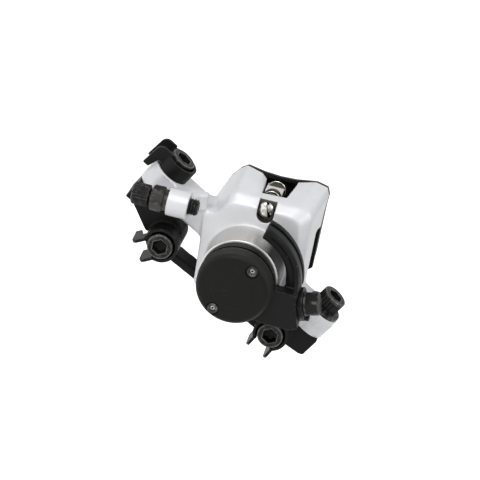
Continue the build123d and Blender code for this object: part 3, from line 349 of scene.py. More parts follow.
# Near-black with almost no shine: a painted shadow for the cap's groove and the pin's slot
GROOVE_SHADOW = paint("painted_groove_shadow", (0.0008, 0.0008, 0.0008), (0.001, 0.001, 0.001), 0.9,
              grain=2000.0, depth=0.01, specular=0.02)
CLIP = paint("clip_paint", (0.0075, 0.0085, 0.0075), (0.14, 0.14, 0.135), 0.4,
             grain=2000.0, depth=0.02, specular=0.13)
STEEL = steel("bright_steel", (0.58, 0.57, 0.55), 0.3)
PLATE = steel("plate_steel", (0.125, 0.11, 0.096), 0.4)
PIN = steel("pin_steel", (0.72, 0.71, 0.68), 0.28, (1, 1, 1))
PAD_SPRING = paint("pad_spring_steel", (0.9, 0.89, 0.86), (0.92, 0.91, 0.89), 0.34, 0.15, depth=0.02)
SPRING = steel("spring_steel", (0.42, 0.41, 0.4), 0.36, (12, 1, 1))
BALL = steel("ball_steel", (0.75, 0.75, 0.76), 0.12, (1, 1, 1))
BRONZE = steel("bronze", (0.55, 0.36, 0.16), 0.35)
RUBBER = paint("seal_rubber", (0.013, 0.013, 0.013), (0.02, 0.02, 0.02), 0.7)
LINING = paint("pad_lining", (0.07, 0.055, 0.045), (0.16, 0.13, 0.1), 0.85, grain=900.0, depth=0.15)

for material, nodes in (
        (SILVER, ("caliper_body",)),
        (BLACK_CAST, ("adapter", "inboard_body")),
        (BLACK_ARM, ("actuating_arm",)),
        (CAP, ("arm_cap",)),
        (BLACK_STEEL, ("body_screws", "post_bolt_left", "post_bolt_right", "post_washer", "bracket_bolts",
                       "cable_clamp_plate", "cable_clamp_bolt", "barrel_adjuster", "adjuster_dial")),
        (CAP_SCREW, ("arm_cap_screws",)),
        (NUT_STEEL, ("barrel_lock_nut",)),
        (CLIP, ("post_bolt_clip", "bracket_bolt_clip_left", "bracket_bolt_clip_right")),
        (STEEL, ("piston", "arm_shaft", "arm_washer", "arm_nut", "pusher_foot")),
        (PLATE, ("outboard_pad_plate", "inboard_pad_plate")),
        (PIN, ("pad_pin",)),
        (SPRING, ("pad_spring", "pad_pin_ring", "return_spring", "dial_retaining_ring")),
        (BALL, ("piston_guide_pins", "ramp_balls")),
        (BRONZE, ("ball_cage", "thrust_washer", "shaft_bush")),
        (RUBBER, ("piston_seal", "hub_dust_seal")),
        (LINING, ("outboard_pad_lining", "inboard_pad_lining"))):
    for node in nodes:
        for place in frame["nodes"][node].material_slots:
            place.material = material


# Cast and stamped pieces: a CAD solid's skin with rounded edges and filled corners
COARSER = 1.0


def object_from(mesh, name):
    data = bpy.data.meshes.new(name)
    mesh.to_mesh(data)
    mesh.free()
    return new_object(name, data)


def bake(piece):
    # Puts the modifiers' result in the mesh
    bpy.context.view_layer.update()
    made = bpy.data.meshes.new_from_object(piece.evaluated_get(bpy.context.evaluated_depsgraph_get()))
    made.name = piece.name
    piece.modifiers.clear()
    piece.data = made


def add_skin(piece, cell):
    # One closed skin of even cells
    skin = piece.modifiers.new("skin", "REMESH")
    skin.mode = "VOXEL"
    skin.voxel_size = cell * COARSER * MM


def add_ease(piece, turns):
    ease = piece.modifiers.new("ease", "SMOOTH")
    ease.factor = 0.5
    ease.iterations = turns
    return ease


def add_cut(piece, cutter):
    cut = piece.modifiers.new("cut", "BOOLEAN")
    cut.operation = "DIFFERENCE"
    cut.object = cutter
    cut.solver = "EXACT"
    return cut


def soften(piece, share, turns):
    # Eases the mesh further, at each point as much as share says
    group = piece.vertex_groups.new(name="soft")
    steps = {}
    for vertex in piece.data.vertices:
        weight = round(share(vertex.co / MM), 1)
        if weight > 0:
            steps.setdefault(weight, []).append(vertex.index)
    for weight, members in steps.items():
        group.add(members, weight, "REPLACE")
    add_ease(piece, turns).vertex_group = group.name
    bake(piece)


def rounded(node, cell, easing, material, share=None, turns=0, extra=None, room=None):
    # The function extra adds forms to the solid, and room makes the shape that is cut out of its skin
    piece = new_object(node + "_cast", frame["nodes"][node].data.copy())
    if extra:
        mesh = bmesh.new()
        mesh.from_mesh(piece.data)
        extra(mesh)
        mesh.to_mesh(piece.data)
        mesh.free()
    weld = piece.modifiers.new("weld", "WELD")
    weld.merge_threshold = 1e-6
    add_skin(piece, cell)
    if room:
        hollow = bmesh.new()
        room(hollow)
        bmesh.ops.recalc_face_normals(hollow, faces=hollow.faces)
        cutter = object_from(hollow, "room")
        add_cut(piece, cutter)
    add_ease(piece, easing)
    bake(piece)
    if room:
        bpy.data.objects.remove(cutter)
    if share:
        soften(piece, share, turns)
    piece.data.materials.clear()
    piece.data.materials.append(material)
    piece.data.shade_smooth()
    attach(piece, BODY_OF[node])
    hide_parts(node)


def ramp(value, low, high):
    return min(1.0, max(0.0, (value - low) / (high - low)))


SPLIT_DEPTH = -12.5
LUG_FOOT = -21.0
CRISP_EASE = 2.0


def casting_share(point):
    # The outer skin is soft, and it stays crisp near what has been machined and near the split
    across, away, depth = caliper_place(point)
    radius = math.hypot(across, away)
    boss = radius - BOSS_RADIUS - 0.3 if depth > FRONT_DEPTH - 1.4 else CRISP_EASE
    pin_seat = max(abs(across - PIN_ACROSS) - 3.4, abs(away - 20.5) - 5.0)
    pad_pocket = max(abs(across - 2.0) - 14.0, away - 12.0, depth + 2.6)
    bores = max(radius - CAM_BORE - 2.6, SPLIT_DEPTH - depth)
    window = max(across - 9.6, 0.6 - across, 9.0 - away, away - 40.0, depth - 1.0)
    lug = math.hypot(away - BARREL_AWAY, depth - BARREL_DEPTH) - 5.2
    if across > LUG_FOOT:
        lug = math.hypot(across - LUG_FOOT, max(0.0, lug))
    ears = min(math.hypot(point.x - post.x, point.y - post.y) for post in POSTS) - 7.4
    nearest = min(boss, pin_seat, pad_pocket, bores, window, lug, ears)
    return ramp(nearest, 0.0, CRISP_EASE) * ramp(depth, SPLIT_DEPTH + 0.5, SPLIT_DEPTH + 4.5)


rounded("caliper_body", 0.26, 5, SILVER, share=casting_share, turns=70)
rounded("adapter", 0.28, 12, BLACK_CAST)
rounded("inboard_body", 0.3, 8, BLACK_CAST)

# The arm, whose horn has a raised rim, a web that slopes up to it, and an open slot, with angles in degrees
ARM_STEP = 2.0
HORN_START = -4.0
HORN_END = 68.0
HORN_TOP = ARM_FRONT - 0.5
WEB_DEPTH = 21.4
SLOT_INNER = 14.5
SLOT_OUTER = 16.9
SLOT_RADIUS = 15.65
SLOT_HALF = 1.3
SLOT_END = 8.2


def eased(share):
    return share * share * (3 - 2 * share)


def strip(mesh, rows):
    # A closed bar through four-cornered rows, each given as (radius, angle, depth) points
    made = [[mesh.verts.new(polar(*corner) * MM) for corner in row] for row in rows]
    for low, high in zip(made, made[1:]):
        for i in range(4):
            j = (i + 1) % 4
            mesh.faces.new((low[i], high[i], high[j], low[j]))
    mesh.faces.new(made[0])
    mesh.faces.new(tuple(reversed(made[-1])))


def arc_bar(mesh, start, end, section):
    # A bar round the hub, whose section gives inner and outer radius, foot and top at an angle
    rows = []
    for step in range(round((end - start) / ARM_STEP) + 1):
        degrees = start + ARM_STEP * step
        inner, outer, foot, top = section(degrees)
        angle = math.radians(degrees)
        rows.append([(inner, angle, foot), (outer, angle, foot), (outer, angle, top), (inner, angle, top)])
    strip(mesh, rows)


def rim_section(degrees):
    fall = 3.9 * eased(ramp(degrees, HORN_START, 28.0)) + 0.7 * ramp(degrees, HORN_END - 8.0, HORN_END)
    return HORN_OUTER - 1.9, HORN_OUTER - 0.25, 20.0, HORN_TOP - fall


def slope_section(degrees):
    fall = 4.9 * eased(ramp(degrees, HORN_START - 1.0, 7.0))
    return HORN_INNER + 0.15, HORN_OUTER - 1.7, 16.0, HORN_TOP - fall


def root_section(degrees):
    inner = SLOT_OUTER + 1.15 * ramp(degrees, 10.0, 40.0)
    return inner, HORN_INNER + 0.3, 14.0, WEB_DEPTH + 0.3


def slot_end(mesh):
    # The slot's round end in the web
    foot = math.radians(HORN_START - 2.0)
    end = math.radians(SLOT_END)
    rows = []
    for step in range(21):
        turn = math.pi * step / 20
        radius = SLOT_RADIUS - SLOT_HALF * math.cos(turn)
        top = end - SLOT_HALF * math.sin(turn) / SLOT_RADIUS
        rows.append([(radius, foot, WEB_DEPTH), (radius, top, WEB_DEPTH),
                     (radius, top, WEB_DEPTH + 1.6), (radius, foot, WEB_DEPTH + 1.6)])
    strip(mesh, rows)


def horn_form(mesh):
    arc_bar(mesh, HORN_START, HORN_END, rim_section)
    arc_bar(mesh, HORN_START - 1.0, 19.0, slope_section)
    arc_bar(mesh, 4.0, 40.0, root_section)
    slot_end(mesh)


def slot_room(mesh):
    # Open room below the web's front, so that the boss shows through the slot's end
    arc_bar(mesh, -20.0, 8.0, lambda degrees: (SLOT_INNER, SLOT_OUTER, 12.5, WEB_DEPTH))


def horn_share(point):
    # Only the horn's free end is soft
    across, away, depth = caliper_place(point)
    angle = math.degrees(math.atan2(away, across))
    radius = math.hypot(across, away)
    return ramp(angle, HORN_END - 6.0, HORN_END) * ramp(radius, HORN_INNER - 1.0, HORN_INNER)


rounded("actuating_arm", 0.22, 10, BLACK_ARM, share=horn_share, turns=30, extra=horn_form, room=slot_room)
rounded("cable_clamp_plate", 0.12, 6, BLACK_STEEL)
rounded("pad_spring", 0.12, 3, PAD_SPRING)
rounded("adjuster_dial", 0.16, 5, BLACK_STEEL)


# Turned pieces: rings along an axis, each a height and either a radius or an outline
RINGS_A_TURN = 8
SHARP = math.radians(38)
FLUTES = 24
M6_PITCH = 1.0


def hexagon(across_flats, limit=math.inf):
    def outline(angle):
        beside = (angle + math.pi / 6) % (math.pi / 3) - math.pi / 6
        return min(across_flats / 2 / math.cos(beside), limit)
    return outline


def fluted(radius, depth):
    return lambda angle: radius - depth * (0.5 - 0.5 * math.cos(FLUTES * angle)) ** 0.6


def threaded(start, end, radius, pitch, depth):
    # The outline's dip goes round with the height
    count = max(2, int((end - start) / pitch * RINGS_A_TURN))
    rings = []
    for k in range(count + 1):
        height = start + (end - start) * k / count

        def outline(angle, height=height):
            phase = (height / pitch - angle / (2 * math.pi)) % 1.0
            return radius - depth * abs(2 * phase - 1)
        rings.append((height, outline))
    return rings


def directions(axis, side):
    # Three at right angles: towards side, as far as that lies across the axis, then beside it, then the axis
    along_axis = axis.normalized()
    first = (side - along_axis * side.dot(along_axis)).normalized()
    return first, along_axis.cross(first), along_axis


def sharpen(piece):
    piece.data.shade_smooth()
    piece.data.set_sharp_from_angle(angle=SHARP)


def lathe(name, places, rings, material, sides=120):
    # The same rings at each place, which is an origin, an axis and the side where angles start
    mesh = bmesh.new()
    for origin, axis, side in places:
        x, y, z = directions(axis, side)
        loops = []
        for height, outline in rings:
            loop = []
            for i in range(sides):
                angle = 2 * math.pi * i / sides
                radius = outline(angle) if callable(outline) else outline
                point = origin + z * height + (x * math.cos(angle) + y * math.sin(angle)) * radius
                loop.append(mesh.verts.new(point * MM))
            loops.append(loop)
        for low, high in zip(loops, loops[1:]):
            for i in range(sides):
                j = (i + 1) % sides
                mesh.faces.new((low[i], low[j], high[j], high[i]))
        mesh.faces.new(tuple(reversed(loops[0])))
        mesh.faces.new(tuple(loops[-1]))
    piece = object_from(mesh, name)
    piece.data.materials.append(material)
    sharpen(piece)
    return piece


def turned(name, places, rings, material, body, *nodes, sides=120):
    piece = lathe(name, places, rings, material, sides)
    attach(piece, body)
    if nodes:
        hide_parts(*nodes)
    return piece


def hoop(name, place, rings, material, body):
    # Like turned, but its rings close on themselves round an open middle
    piece = turned(name, [place], rings + rings[:1], material, body, sides=72)
    mesh = bmesh.new()
    mesh.from_mesh(piece.data)
    bmesh.ops.delete(mesh, geom=[face for face in mesh.faces if len(face.verts) > 4], context="FACES_ONLY")
    bmesh.ops.remove_doubles(mesh, verts=mesh.verts, dist=1e-7)
    bmesh.ops.recalc_face_normals(mesh, faces=mesh.faces)
    mesh.to_mesh(piece.data)
    mesh.free()
    sharpen(piece)


def cut_out(piece, cutter):
    # Takes the cutter's shape out of the piece, with the cutter's material on the cut, and removes it
    add_cut(piece, cutter).material_mode = "TRANSFER"
    bake(piece)
    bpy.data.objects.remove(cutter)
    piece.data.set_sharp_from_angle(angle=SHARP)


# Socket-head bolts with fluted heads
def socket_head(length, shank, grip):
    # From the free end up: thread as far as the grip, plain shank, head, and the socket down to its floor
    floor = HEAD_HEIGHT - HEX_DEPTH
    flutes = fluted(HEAD_RADIUS, 0.42)
    rings = threaded(-length, -grip, THREAD_RADIUS, M6_PITCH, 0.5)
    rings += [(-grip + 0.1, shank), (-0.05, shank), (0.0, HEAD_RADIUS - 0.25)]
    rings += [(0.2, HEAD_RADIUS), (0.45, HEAD_RADIUS), (0.5, flutes), (HEAD_HEIGHT - 1.25, flutes)]
    for drop, chamfer in ((1.15, 0.0), (0.55, 0.0), (0.3, 0.08), (0.08, 0.3), (0.0, 0.6)):
        rings.append((HEAD_HEIGHT - drop, HEAD_RADIUS - chamfer))
    for drop, flare in ((0.0, 0.5), (0.12, 0.12), (0.35, 0.0), (HEX_DEPTH, 0.0)):
        rings.append((HEAD_HEIGHT - drop, hexagon(HEX_ACROSS + flare)))
    rings += [(floor - 0.15, HEX_ACROSS / 2 - 0.1), (floor - 0.9, 0.2)]
    return rings


M6 = socket_head(length=20.0, shank=THREAD_RADIUS, grip=7.0)
M6_WAISTED = socket_head(length=17.2, shank=2.8, grip=14.2)
turned("post_bolt_left_turned", [(POSTS[0], UP, ACROSS)], M6, BLACK_STEEL, "caliper", "post_bolt_left")
turned("post_bolt_right_turned", [(POSTS[1], UP, ACROSS)], M6, BLACK_STEEL, "caliper", "post_bolt_right")
turned("bracket_bolts_turned", [(seat, OUT, UP) for seat in BRACKETS], M6_WAISTED, BLACK_STEEL,
       "caliper", "bracket_bolts")

# Lips on the two ears, which catch the light, with heights from the bracket bolts' row
LIP_RADIUS = 7.3
LIP_WALL = 0.7
ear_axes = [(Vector((post.x, post.y, 0)), UP, ACROSS) for post in POSTS]
right_lip = [(8.7, LIP_RADIUS - LIP_WALL), (8.7, LIP_RADIUS), (14.75, LIP_RADIUS)]
right_lip += [(15.15, LIP_RADIUS - 0.3), (15.15, LIP_RADIUS - LIP_WALL)]
hoop("ear_lip_right", ear_axes[1], right_lip, SILVER, "caliper")
left_lip = [(16.7, LIP_RADIUS - 0.6), (16.8, LIP_RADIUS - 0.05), (17.1, LIP_RADIUS - 0.05)]
left_lip += [(17.32, LIP_RADIUS - 0.3), (17.32, LIP_RADIUS - 0.6)]
hoop("ear_lip_left", ear_axes[0], left_lip, SILVER, "caliper")

# Edges where the blackening has rubbed off, round each head and each socket, pale enough to be painted
# highlights as well, as pairs of rise over the head's top and inset from its side, or flare of the hexagon
head_wear_and_highlight = [(-0.4, 0.15), (-0.28, 0.03), (-0.12, 0.15), (0.02, 0.5), (-0.1, 0.6)]
hexagon_wear_and_highlight = [(-0.1, 0.3), (0.03, 0.75), (0.04, 0.45), (-0.1, 0.1)]
edge_rings = [(HEAD_HEIGHT + rise, HEAD_RADIUS - inset) for rise, inset in head_wear_and_highlight]
socket_rings = [(HEAD_HEIGHT + rise, hexagon(HEX_ACROSS + flare)) for rise, flare in hexagon_wear_and_highlight]
for number, (seat, axis) in enumerate([(seat, UP) for seat in POSTS] + [(seat, OUT) for seat in BRACKETS]):
    hoop("head_rim_wear_highlight_%d" % number, (seat, axis, ACROSS), edge_rings, EDGE_WEAR_AND_HIGHLIGHT, "caliper")
    side = UP if axis is OUT else ACROSS
    hoop("socket_rim_wear_highlight_%d" % number, (seat, axis, side), socket_rings, EDGE_WEAR_AND_HIGHLIGHT, "caliper")

# Washer below the right post bolt's head
WASHER_RADIUS = 6.8
WASHER_THICKNESS = 1.2
WASHER_BORE = 3.1
washer = [(-WASHER_THICKNESS, WASHER_BORE), (-WASHER_THICKNESS, WASHER_RADIUS - 0.15)]
washer += [(0.1 - WASHER_THICKNESS, WASHER_RADIUS), (-0.15, WASHER_RADIUS)]
washer += [(0, WASHER_RADIUS - 0.15), (0, WASHER_BORE)]
turned("post_washer_turned", [(POSTS[1], UP, ACROSS)], washer, BLACK_STEEL, "caliper", "post_washer")

# Barrel adjuster, with heights along its axis from the hub: threaded stem, two knurled bands, and bores
STEM_END = 19.0
KNOB_RADIUS = 4.0
KNOB_START = 36.8
KNOB_END = 42.9
HOUSING_RADIUS = 2.55
HOUSING_FLOOR = 37.5
CABLE_RADIUS = 1.0
BARREL_AXIS = (spot(0, BARREL_AWAY, BARREL_DEPTH), -ACROSS, AWAY)
knurl = fluted(KNOB_RADIUS, 0.34)
barrel = [(STEM_END, CABLE_RADIUS), (STEM_END, THREAD_RADIUS - 0.8), (STEM_END + 0.4, THREAD_RADIUS - 0.4)]
barrel += threaded(STEM_END + 0.5, KNOB_START - 0.2, THREAD_RADIUS, M6_PITCH, 0.42)
barrel += [(KNOB_START - 0.1, THREAD_RADIUS - 0.1), (KNOB_START, THREAD_RADIUS + 0.3)]
barrel += [(KNOB_START + 0.05, KNOB_RADIUS - 0.25), (KNOB_START + 0.3, KNOB_RADIUS - 0.05)]
barrel += [(KNOB_START + 0.4, knurl), (38.9, knurl), (39.0, KNOB_RADIUS - 0.2), (39.25, KNOB_RADIUS - 0.2)]
barrel += [(39.35, knurl), (KNOB_END - 0.7, knurl), (KNOB_END - 0.4, KNOB_RADIUS - 0.2)]
barrel += [(KNOB_END - 0.1, KNOB_RADIUS - 0.4), (KNOB_END, KNOB_RADIUS - 0.7)]
barrel += [(KNOB_END, HOUSING_RADIUS + 0.2), (KNOB_END - 0.15, HOUSING_RADIUS)]
barrel.append((HOUSING_FLOOR + 0.1, HOUSING_RADIUS))
barrel += [(HOUSING_FLOOR, HOUSING_RADIUS - 0.15), (HOUSING_FLOOR, CABLE_RADIUS), (STEM_END, CABLE_RADIUS)]
turned("barrel_adjuster_turned", [BARREL_AXIS], barrel, BLACK_STEEL, "barrel", "barrel_adjuster")

# Lock nut on the stem: a round flange and a hexagon with turned corners
NUT_START = 29.9
NUT_END = 36.0
NUT_ACROSS = 8.0
NUT_FLANGE = 3.9
NUT_BORE = THREAD_RADIUS + 0.06
nut_flats = hexagon(NUT_ACROSS)
nut_corners = hexagon(NUT_ACROSS, NUT_FLANGE + 0.25)
nut = [(NUT_START, NUT_BORE), (NUT_START, NUT_FLANGE - 0.15)]
nut += [(NUT_START + 0.15, NUT_FLANGE), (NUT_START + 1.5, NUT_FLANGE), (NUT_START + 1.65, NUT_FLANGE - 0.1)]
nut += [(NUT_START + 1.7, nut_corners), (NUT_START + 2.1, nut_flats)]
nut += [(NUT_END - 0.5, nut_flats), (NUT_END - 0.05, nut_corners), (NUT_END, NUT_FLANGE)]
nut += [(NUT_END, NUT_BORE + 0.24), (NUT_END - 0.2, NUT_BORE), (NUT_START, NUT_BORE)]
turned("barrel_lock_nut_turned", [BARREL_AXIS], nut, NUT_STEEL, "lock_nut", "barrel_lock_nut")

# Lock clips: an open band round the head, a ring under it and two bent legs, in sheet steel
CLIP_OUTER = 6.5
CLIP_INNER = 5.4
CLIP_SHEET = CLIP_OUTER - CLIP_INNER
CLIP_BORE = 3.1
CLIP_BAND = 4.6
CLIP_RING = 1.2
CLIP_LEGS = 3.3
CLIP_LEG_ROOT = 4.3
CLIP_LEG_WIDTH = 5.2
CLIP_TOE_DROP = 9.9
ARC_STEPS = 48
CORNER_STEPS = 6


def round_corners(points, radii):
    # Puts an arc of the given radius in each corner that has one
    outline = []
    count = len(points)
    for i, (corner, radius) in enumerate(zip(points, radii)):
        corner = Vector(corner)
        if radius == 0:
            outline.append(corner)
            continue
        before = (Vector(points[i - 1]) - corner).normalized()
        after = (Vector(points[(i + 1) % count]) - corner).normalized()
        half = before.angle(after) / 2
        reach = radius / math.tan(half)
        middle = corner + (before + after).normalized() * (radius / math.sin(half))
        first = corner + before * reach - middle
        last = corner + after * reach - middle
        for k in range(CORNER_STEPS + 1):
            mixed = first.lerp(last, k / CORNER_STEPS)
            outline.append(middle + mixed.normalized() * radius)
    return outline


def slab(mesh, seat, outline, low, high):
    # A flat outline in the seat's first two directions, thick along the third
    origin, first, second, third = seat
    rows = []
    for height in (low, high):
        points = [origin + first * x + second * y + third * height for x, y in outline]
        rows.append([mesh.verts.new(point * MM) for point in points])
    count = len(outline)
    for i in range(count):
        j = (i + 1) % count
        mesh.faces.new((rows[0][i], rows[0][j], rows[1][j], rows[1][i]))
    mesh.faces.new(tuple(reversed(rows[0])))
    mesh.faces.new(tuple(rows[1]))


def ring_outline(inner, outer, gap=0.0):
    # A flat ring of two arcs, open by the gap's angle on each side of its start
    def arc(radius):
        angles = [gap + (2 * math.pi - 2 * gap) * k / ARC_STEPS for k in range(ARC_STEPS + 1)]
        return [Vector((radius * math.cos(angle), radius * math.sin(angle))) for angle in angles]
    return arc(outer) + list(reversed(arc(inner)))


def lock_clip(name, origin, axis, side, reach, rise):
    # The legs reach out to the side at the given rise, and their tips bend down
    x, y, z = directions(axis, side)
    mesh = bmesh.new()
    gap = math.asin(CLIP_LEGS / ((CLIP_INNER + CLIP_OUTER) / 2))
    slab(mesh, (origin, x, y, z), ring_outline(CLIP_INNER, CLIP_OUTER, gap), 0.0, CLIP_BAND)
    slab(mesh, (origin, x, y, z), ring_outline(CLIP_BORE, CLIP_OUTER), -CLIP_RING, 0.0)
    tip = rise - CLIP_TOE_DROP
    leg = [(CLIP_LEG_ROOT, rise), (reach, rise), (reach + 0.6, tip), (reach - 1.9, tip),
           (reach - 3.2, rise - CLIP_LEG_WIDTH), (CLIP_LEG_ROOT, rise - CLIP_LEG_WIDTH)]
    outline = round_corners(leg, (0.6, 2.6, 0.4, 0.4, 0.8, 0.0))
    for way in (-1, 1):
        slab(mesh, (origin + y * (CLIP_LEGS * way), x, z, y * way), outline, 0.0, CLIP_SHEET)
    piece = object_from(mesh, name + "_bent")
    add_skin(piece, 0.13)
    add_ease(piece, 6)
    bake(piece)
    piece.data.materials.append(CLIP)
    piece.data.shade_smooth()
    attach(piece, "caliper")
    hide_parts(name)


lock_clip("post_bolt_clip", POSTS[0], UP, Vector((-1, 0, 0)), reach=9.8, rise=5.6)
lock_clip("bracket_bolt_clip_left", BRACKETS[0], OUT, Vector((-0.5, 0, -0.87)), reach=9.7, rise=5.0)
lock_clip("bracket_bolt_clip_right", BRACKETS[1], OUT, Vector((0.08, 0, -1.0)), reach=9.4, rise=5.0)

# Pad pin with a domed head, which stands a little off the shank's axis and has a screwdriver's slot
PIN_RADIUS = 1.5
PIN_HEAD_RADIUS = 3.05
PIN_HEAD = spot(PIN_ACROSS - 0.25, PIN_AWAY - 0.6, PIN_DEPTH)
DRIVE_WIDTH = 1.0
DRIVE_REACH = 4.0
DRIVE_FLOOR = 0.5
DRIVE_TURN = math.radians(-16.0)
DRIVE_ALONG = AWAY * math.cos(DRIVE_TURN) + ACROSS * math.sin(DRIVE_TURN)
DRIVE_BESIDE = ACROSS * math.cos(DRIVE_TURN) - AWAY * math.sin(DRIVE_TURN)
shank = [(-25.2, PIN_RADIUS - 0.3), (-24.9, PIN_RADIUS), (0.6, PIN_RADIUS), (0.8, 0.6)]
shank_place = (spot(PIN_ACROSS, PIN_AWAY, PIN_DEPTH), OUT, ACROSS)
turned("pad_pin_shank", [shank_place], shank, PIN, "caliper", sides=48)
dome = [(-0.02, PIN_RADIUS), (0.0, PIN_HEAD_RADIUS - 0.15), (0.15, PIN_HEAD_RADIUS), (0.8, PIN_HEAD_RADIUS)]
dome += [(1.1, 2.9), (1.4, 2.6), (1.65, 2.1), (1.82, 1.45), (1.9, 0.6)]
pin = turned("pad_pin_turned", [(PIN_HEAD, OUT, ACROSS)], dome, PIN, "caliper", "pad_pin", sides=96)
drive_mesh = bmesh.new()
drive_seat = (PIN_HEAD + DRIVE_BESIDE, DRIVE_BESIDE, DRIVE_ALONG, OUT)
drive_outline = [(x * DRIVE_WIDTH / 2, y * DRIVE_REACH) for x, y in ((-1, -1), (1, -1), (1, 1), (-1, 1))]
slab(drive_mesh, drive_seat, drive_outline, DRIVE_FLOOR, DRIVE_REACH)
bmesh.ops.recalc_face_normals(drive_mesh, faces=drive_mesh.faces)
slot_cutter = object_from(drive_mesh, "slot_cutter")
# The slot's faces take the near-black of the painted shadow
slot_cutter.data.materials.append(GROOVE_SHADOW)
cut_out(pin, slot_cutter)

# The pads' tabs, with a dark face and a bright rim, worn steel that is also a painted highlight, and a stem
# behind the inboard one
OUTBOARD_TAB = spot(PIN_ACROSS, PIN_AWAY, -3.4)
INBOARD_TAB = spot(PIN_ACROSS + 0.4, PIN_AWAY + 0.8, -10.7)
STEM_RADIUS = 3.15


def pad_tab(body, place, radius):
    face = [(-0.2, radius - 0.3), (0.0, radius - 0.2), (0.04, radius - 0.5), (0.05, 0.4)]
    turned(body + "_tab_face", [(place, OUT, ACROSS)], face, PLATE, body, sides=72)
    rim = [(-0.1, radius - 0.3), (-0.1, radius), (0.06, radius), (0.14, radius - 0.1)]
    rim += [(0.14, radius - 0.2), (0.0, radius - 0.3)]
    hoop(body + "_tab_rim", (place, OUT, ACROSS), rim, PIN, body)


pad_tab("outboard_pad", OUTBOARD_TAB, radius=3.2)
pad_tab("inboard_pad", INBOARD_TAB, radius=3.5)
stem = [(-3.0, STEM_RADIUS), (-0.15, STEM_RADIUS), (-0.1, STEM_RADIUS - 0.15)]
turned("inboard_pad_tab", [(INBOARD_TAB, OUT, ACROSS)], stem, PLATE, "inboard_pad", sides=72)

# Cable clamp bolt, a flanged hex head over the clamp plate
CLAMP_TILT = math.radians(15.4)
CLAMP_PLATE = 1.9
CLAMP_THREAD = 2.5
CLAMP_ACROSS = 8.0
CLAMP_FLANGE = 4.45
CLAMP_TOP = 5.2
CLAMP_OUT = ACROSS * math.cos(CLAMP_TILT) + AWAY * math.sin(CLAMP_TILT)
clamp_place = (spot(23.0, -5.5, 18.6) + CLAMP_OUT * CLAMP_PLATE, CLAMP_OUT, OUT)
clamp = threaded(-8.4, -CLAMP_PLATE, CLAMP_THREAD, 0.8, 0.4)
clamp += [(0.1 - CLAMP_PLATE, CLAMP_THREAD), (-0.02, CLAMP_THREAD)]
clamp += [(0, CLAMP_FLANGE - 0.25), (0.15, CLAMP_FLANGE), (0.6, CLAMP_FLANGE), (0.9, CLAMP_FLANGE - 0.15)]
for height, chamfer in ((1.0, 0.2), (1.3, 0.0), (CLAMP_TOP - 0.6, 0.0), (CLAMP_TOP - 0.2, 0.3)):
    clamp.append((height, hexagon(CLAMP_ACROSS, CLAMP_FLANGE - chamfer)))
clamp += [(CLAMP_TOP, 3.8), (CLAMP_TOP, 3.3), (CLAMP_TOP - 0.2, 3.0), (CLAMP_TOP - 0.2, 0.3)]
turned("cable_clamp_bolt_turned", [clamp_place], clamp, BLACK_STEEL, "arm", "cable_clamp_bolt")

# Cap over the hub: a straight side, a rounded shoulder and a shallow step round its face
CAP_FOOT = 25.4
CAP_RADIUS = 13.62
CAP_SHOULDER = 2.2
CAP_STEP = 0.2
CAP_FACE = 7.6
shoulder_foot = CAP_TOP - CAP_STEP - CAP_SHOULDER
cap_rings = [(CAP_FOOT, CAP_RADIUS - 0.72), (CAP_FOOT + 0.35, CAP_RADIUS - 0.32)]
cap_rings += [(CAP_FOOT + 0.5, CAP_RADIUS - 0.07), (CAP_FOOT + 0.7, CAP_RADIUS)]
cap_rings += [(CAP_FOOT + 2.2, CAP_RADIUS - 0.04), (shoulder_foot, CAP_RADIUS - 0.3)]
for step in range(1, 13):
    turn = math.pi / 2 * step / 12
    height = shoulder_foot + CAP_SHOULDER * math.sin(turn)
    cap_rings.append((height, CAP_RADIUS - 0.3 - CAP_SHOULDER * (1 - math.cos(turn))))
cap_rings += [(CAP_TOP - CAP_STEP, CAP_FACE), (CAP_TOP - CAP_STEP / 2, CAP_FACE - 0.1)]
cap_rings += [(CAP_TOP - CAP_STEP / 10, CAP_FACE - 0.3), (CAP_TOP, CAP_FACE - 0.6), (CAP_TOP, 0.3)]
cap = turned("arm_cap_turned", [(HUB, OUT, ACROSS)], cap_rings, CAP, "arm", "arm_cap", sides=180)

# Painted shadow: a near-black ring in the groove between the arm and the cap
GROOVE_SHADOW_RADIUS = 13.6
groove_shadow_rings = [(CAP_FOOT - 0.45, GROOVE_SHADOW_RADIUS - 0.3), (CAP_FOOT - 0.4, GROOVE_SHADOW_RADIUS)]
groove_shadow_rings += [(CAP_FOOT + 0.4, GROOVE_SHADOW_RADIUS), (CAP_FOOT + 0.45, GROOVE_SHADOW_RADIUS - 0.3)]
turned("cap_groove_shadow", [(HUB, OUT, ACROSS)], groove_shadow_rings, GROOVE_SHADOW, "arm", sides=180)

# Cap screws with small sockets, bright steel inside that stands in for a painted glint, each in a recess of
# the cap
SCREW_CIRCLE = 10.4
SCREW_ANGLE = math.radians(57.5)
SCREW_SEAT = CAP_TOP - 1.4
SCREW_SHANK = 1.5
SCREW_HEAD = 1.9
SCREW_TOP = 1.2
SCREW_ACROSS = 1.8
SCREW_RECESS = 0.55
screw_places = [(polar(side * SCREW_CIRCLE, SCREW_ANGLE, SCREW_SEAT), OUT, ACROSS) for side in (-1, 1)]
cap_screw = [(-7.9, SCREW_SHANK - 0.3), (-7.7, SCREW_SHANK), (-0.05, SCREW_SHANK)]
cap_screw += [(0, SCREW_HEAD - 0.2), (0.15, SCREW_HEAD), (SCREW_TOP - 0.2, SCREW_HEAD)]
cap_screw += [(SCREW_TOP - 0.05, SCREW_HEAD - 0.1), (SCREW_TOP, SCREW_HEAD - 0.3)]
for height, flare in ((SCREW_TOP, 0.3), (SCREW_TOP - 0.15, 0.0), (0.4, 0.0)):
    cap_screw.append((height, hexagon(SCREW_ACROSS + flare)))
cap_screw.append((0.2, 0.3))
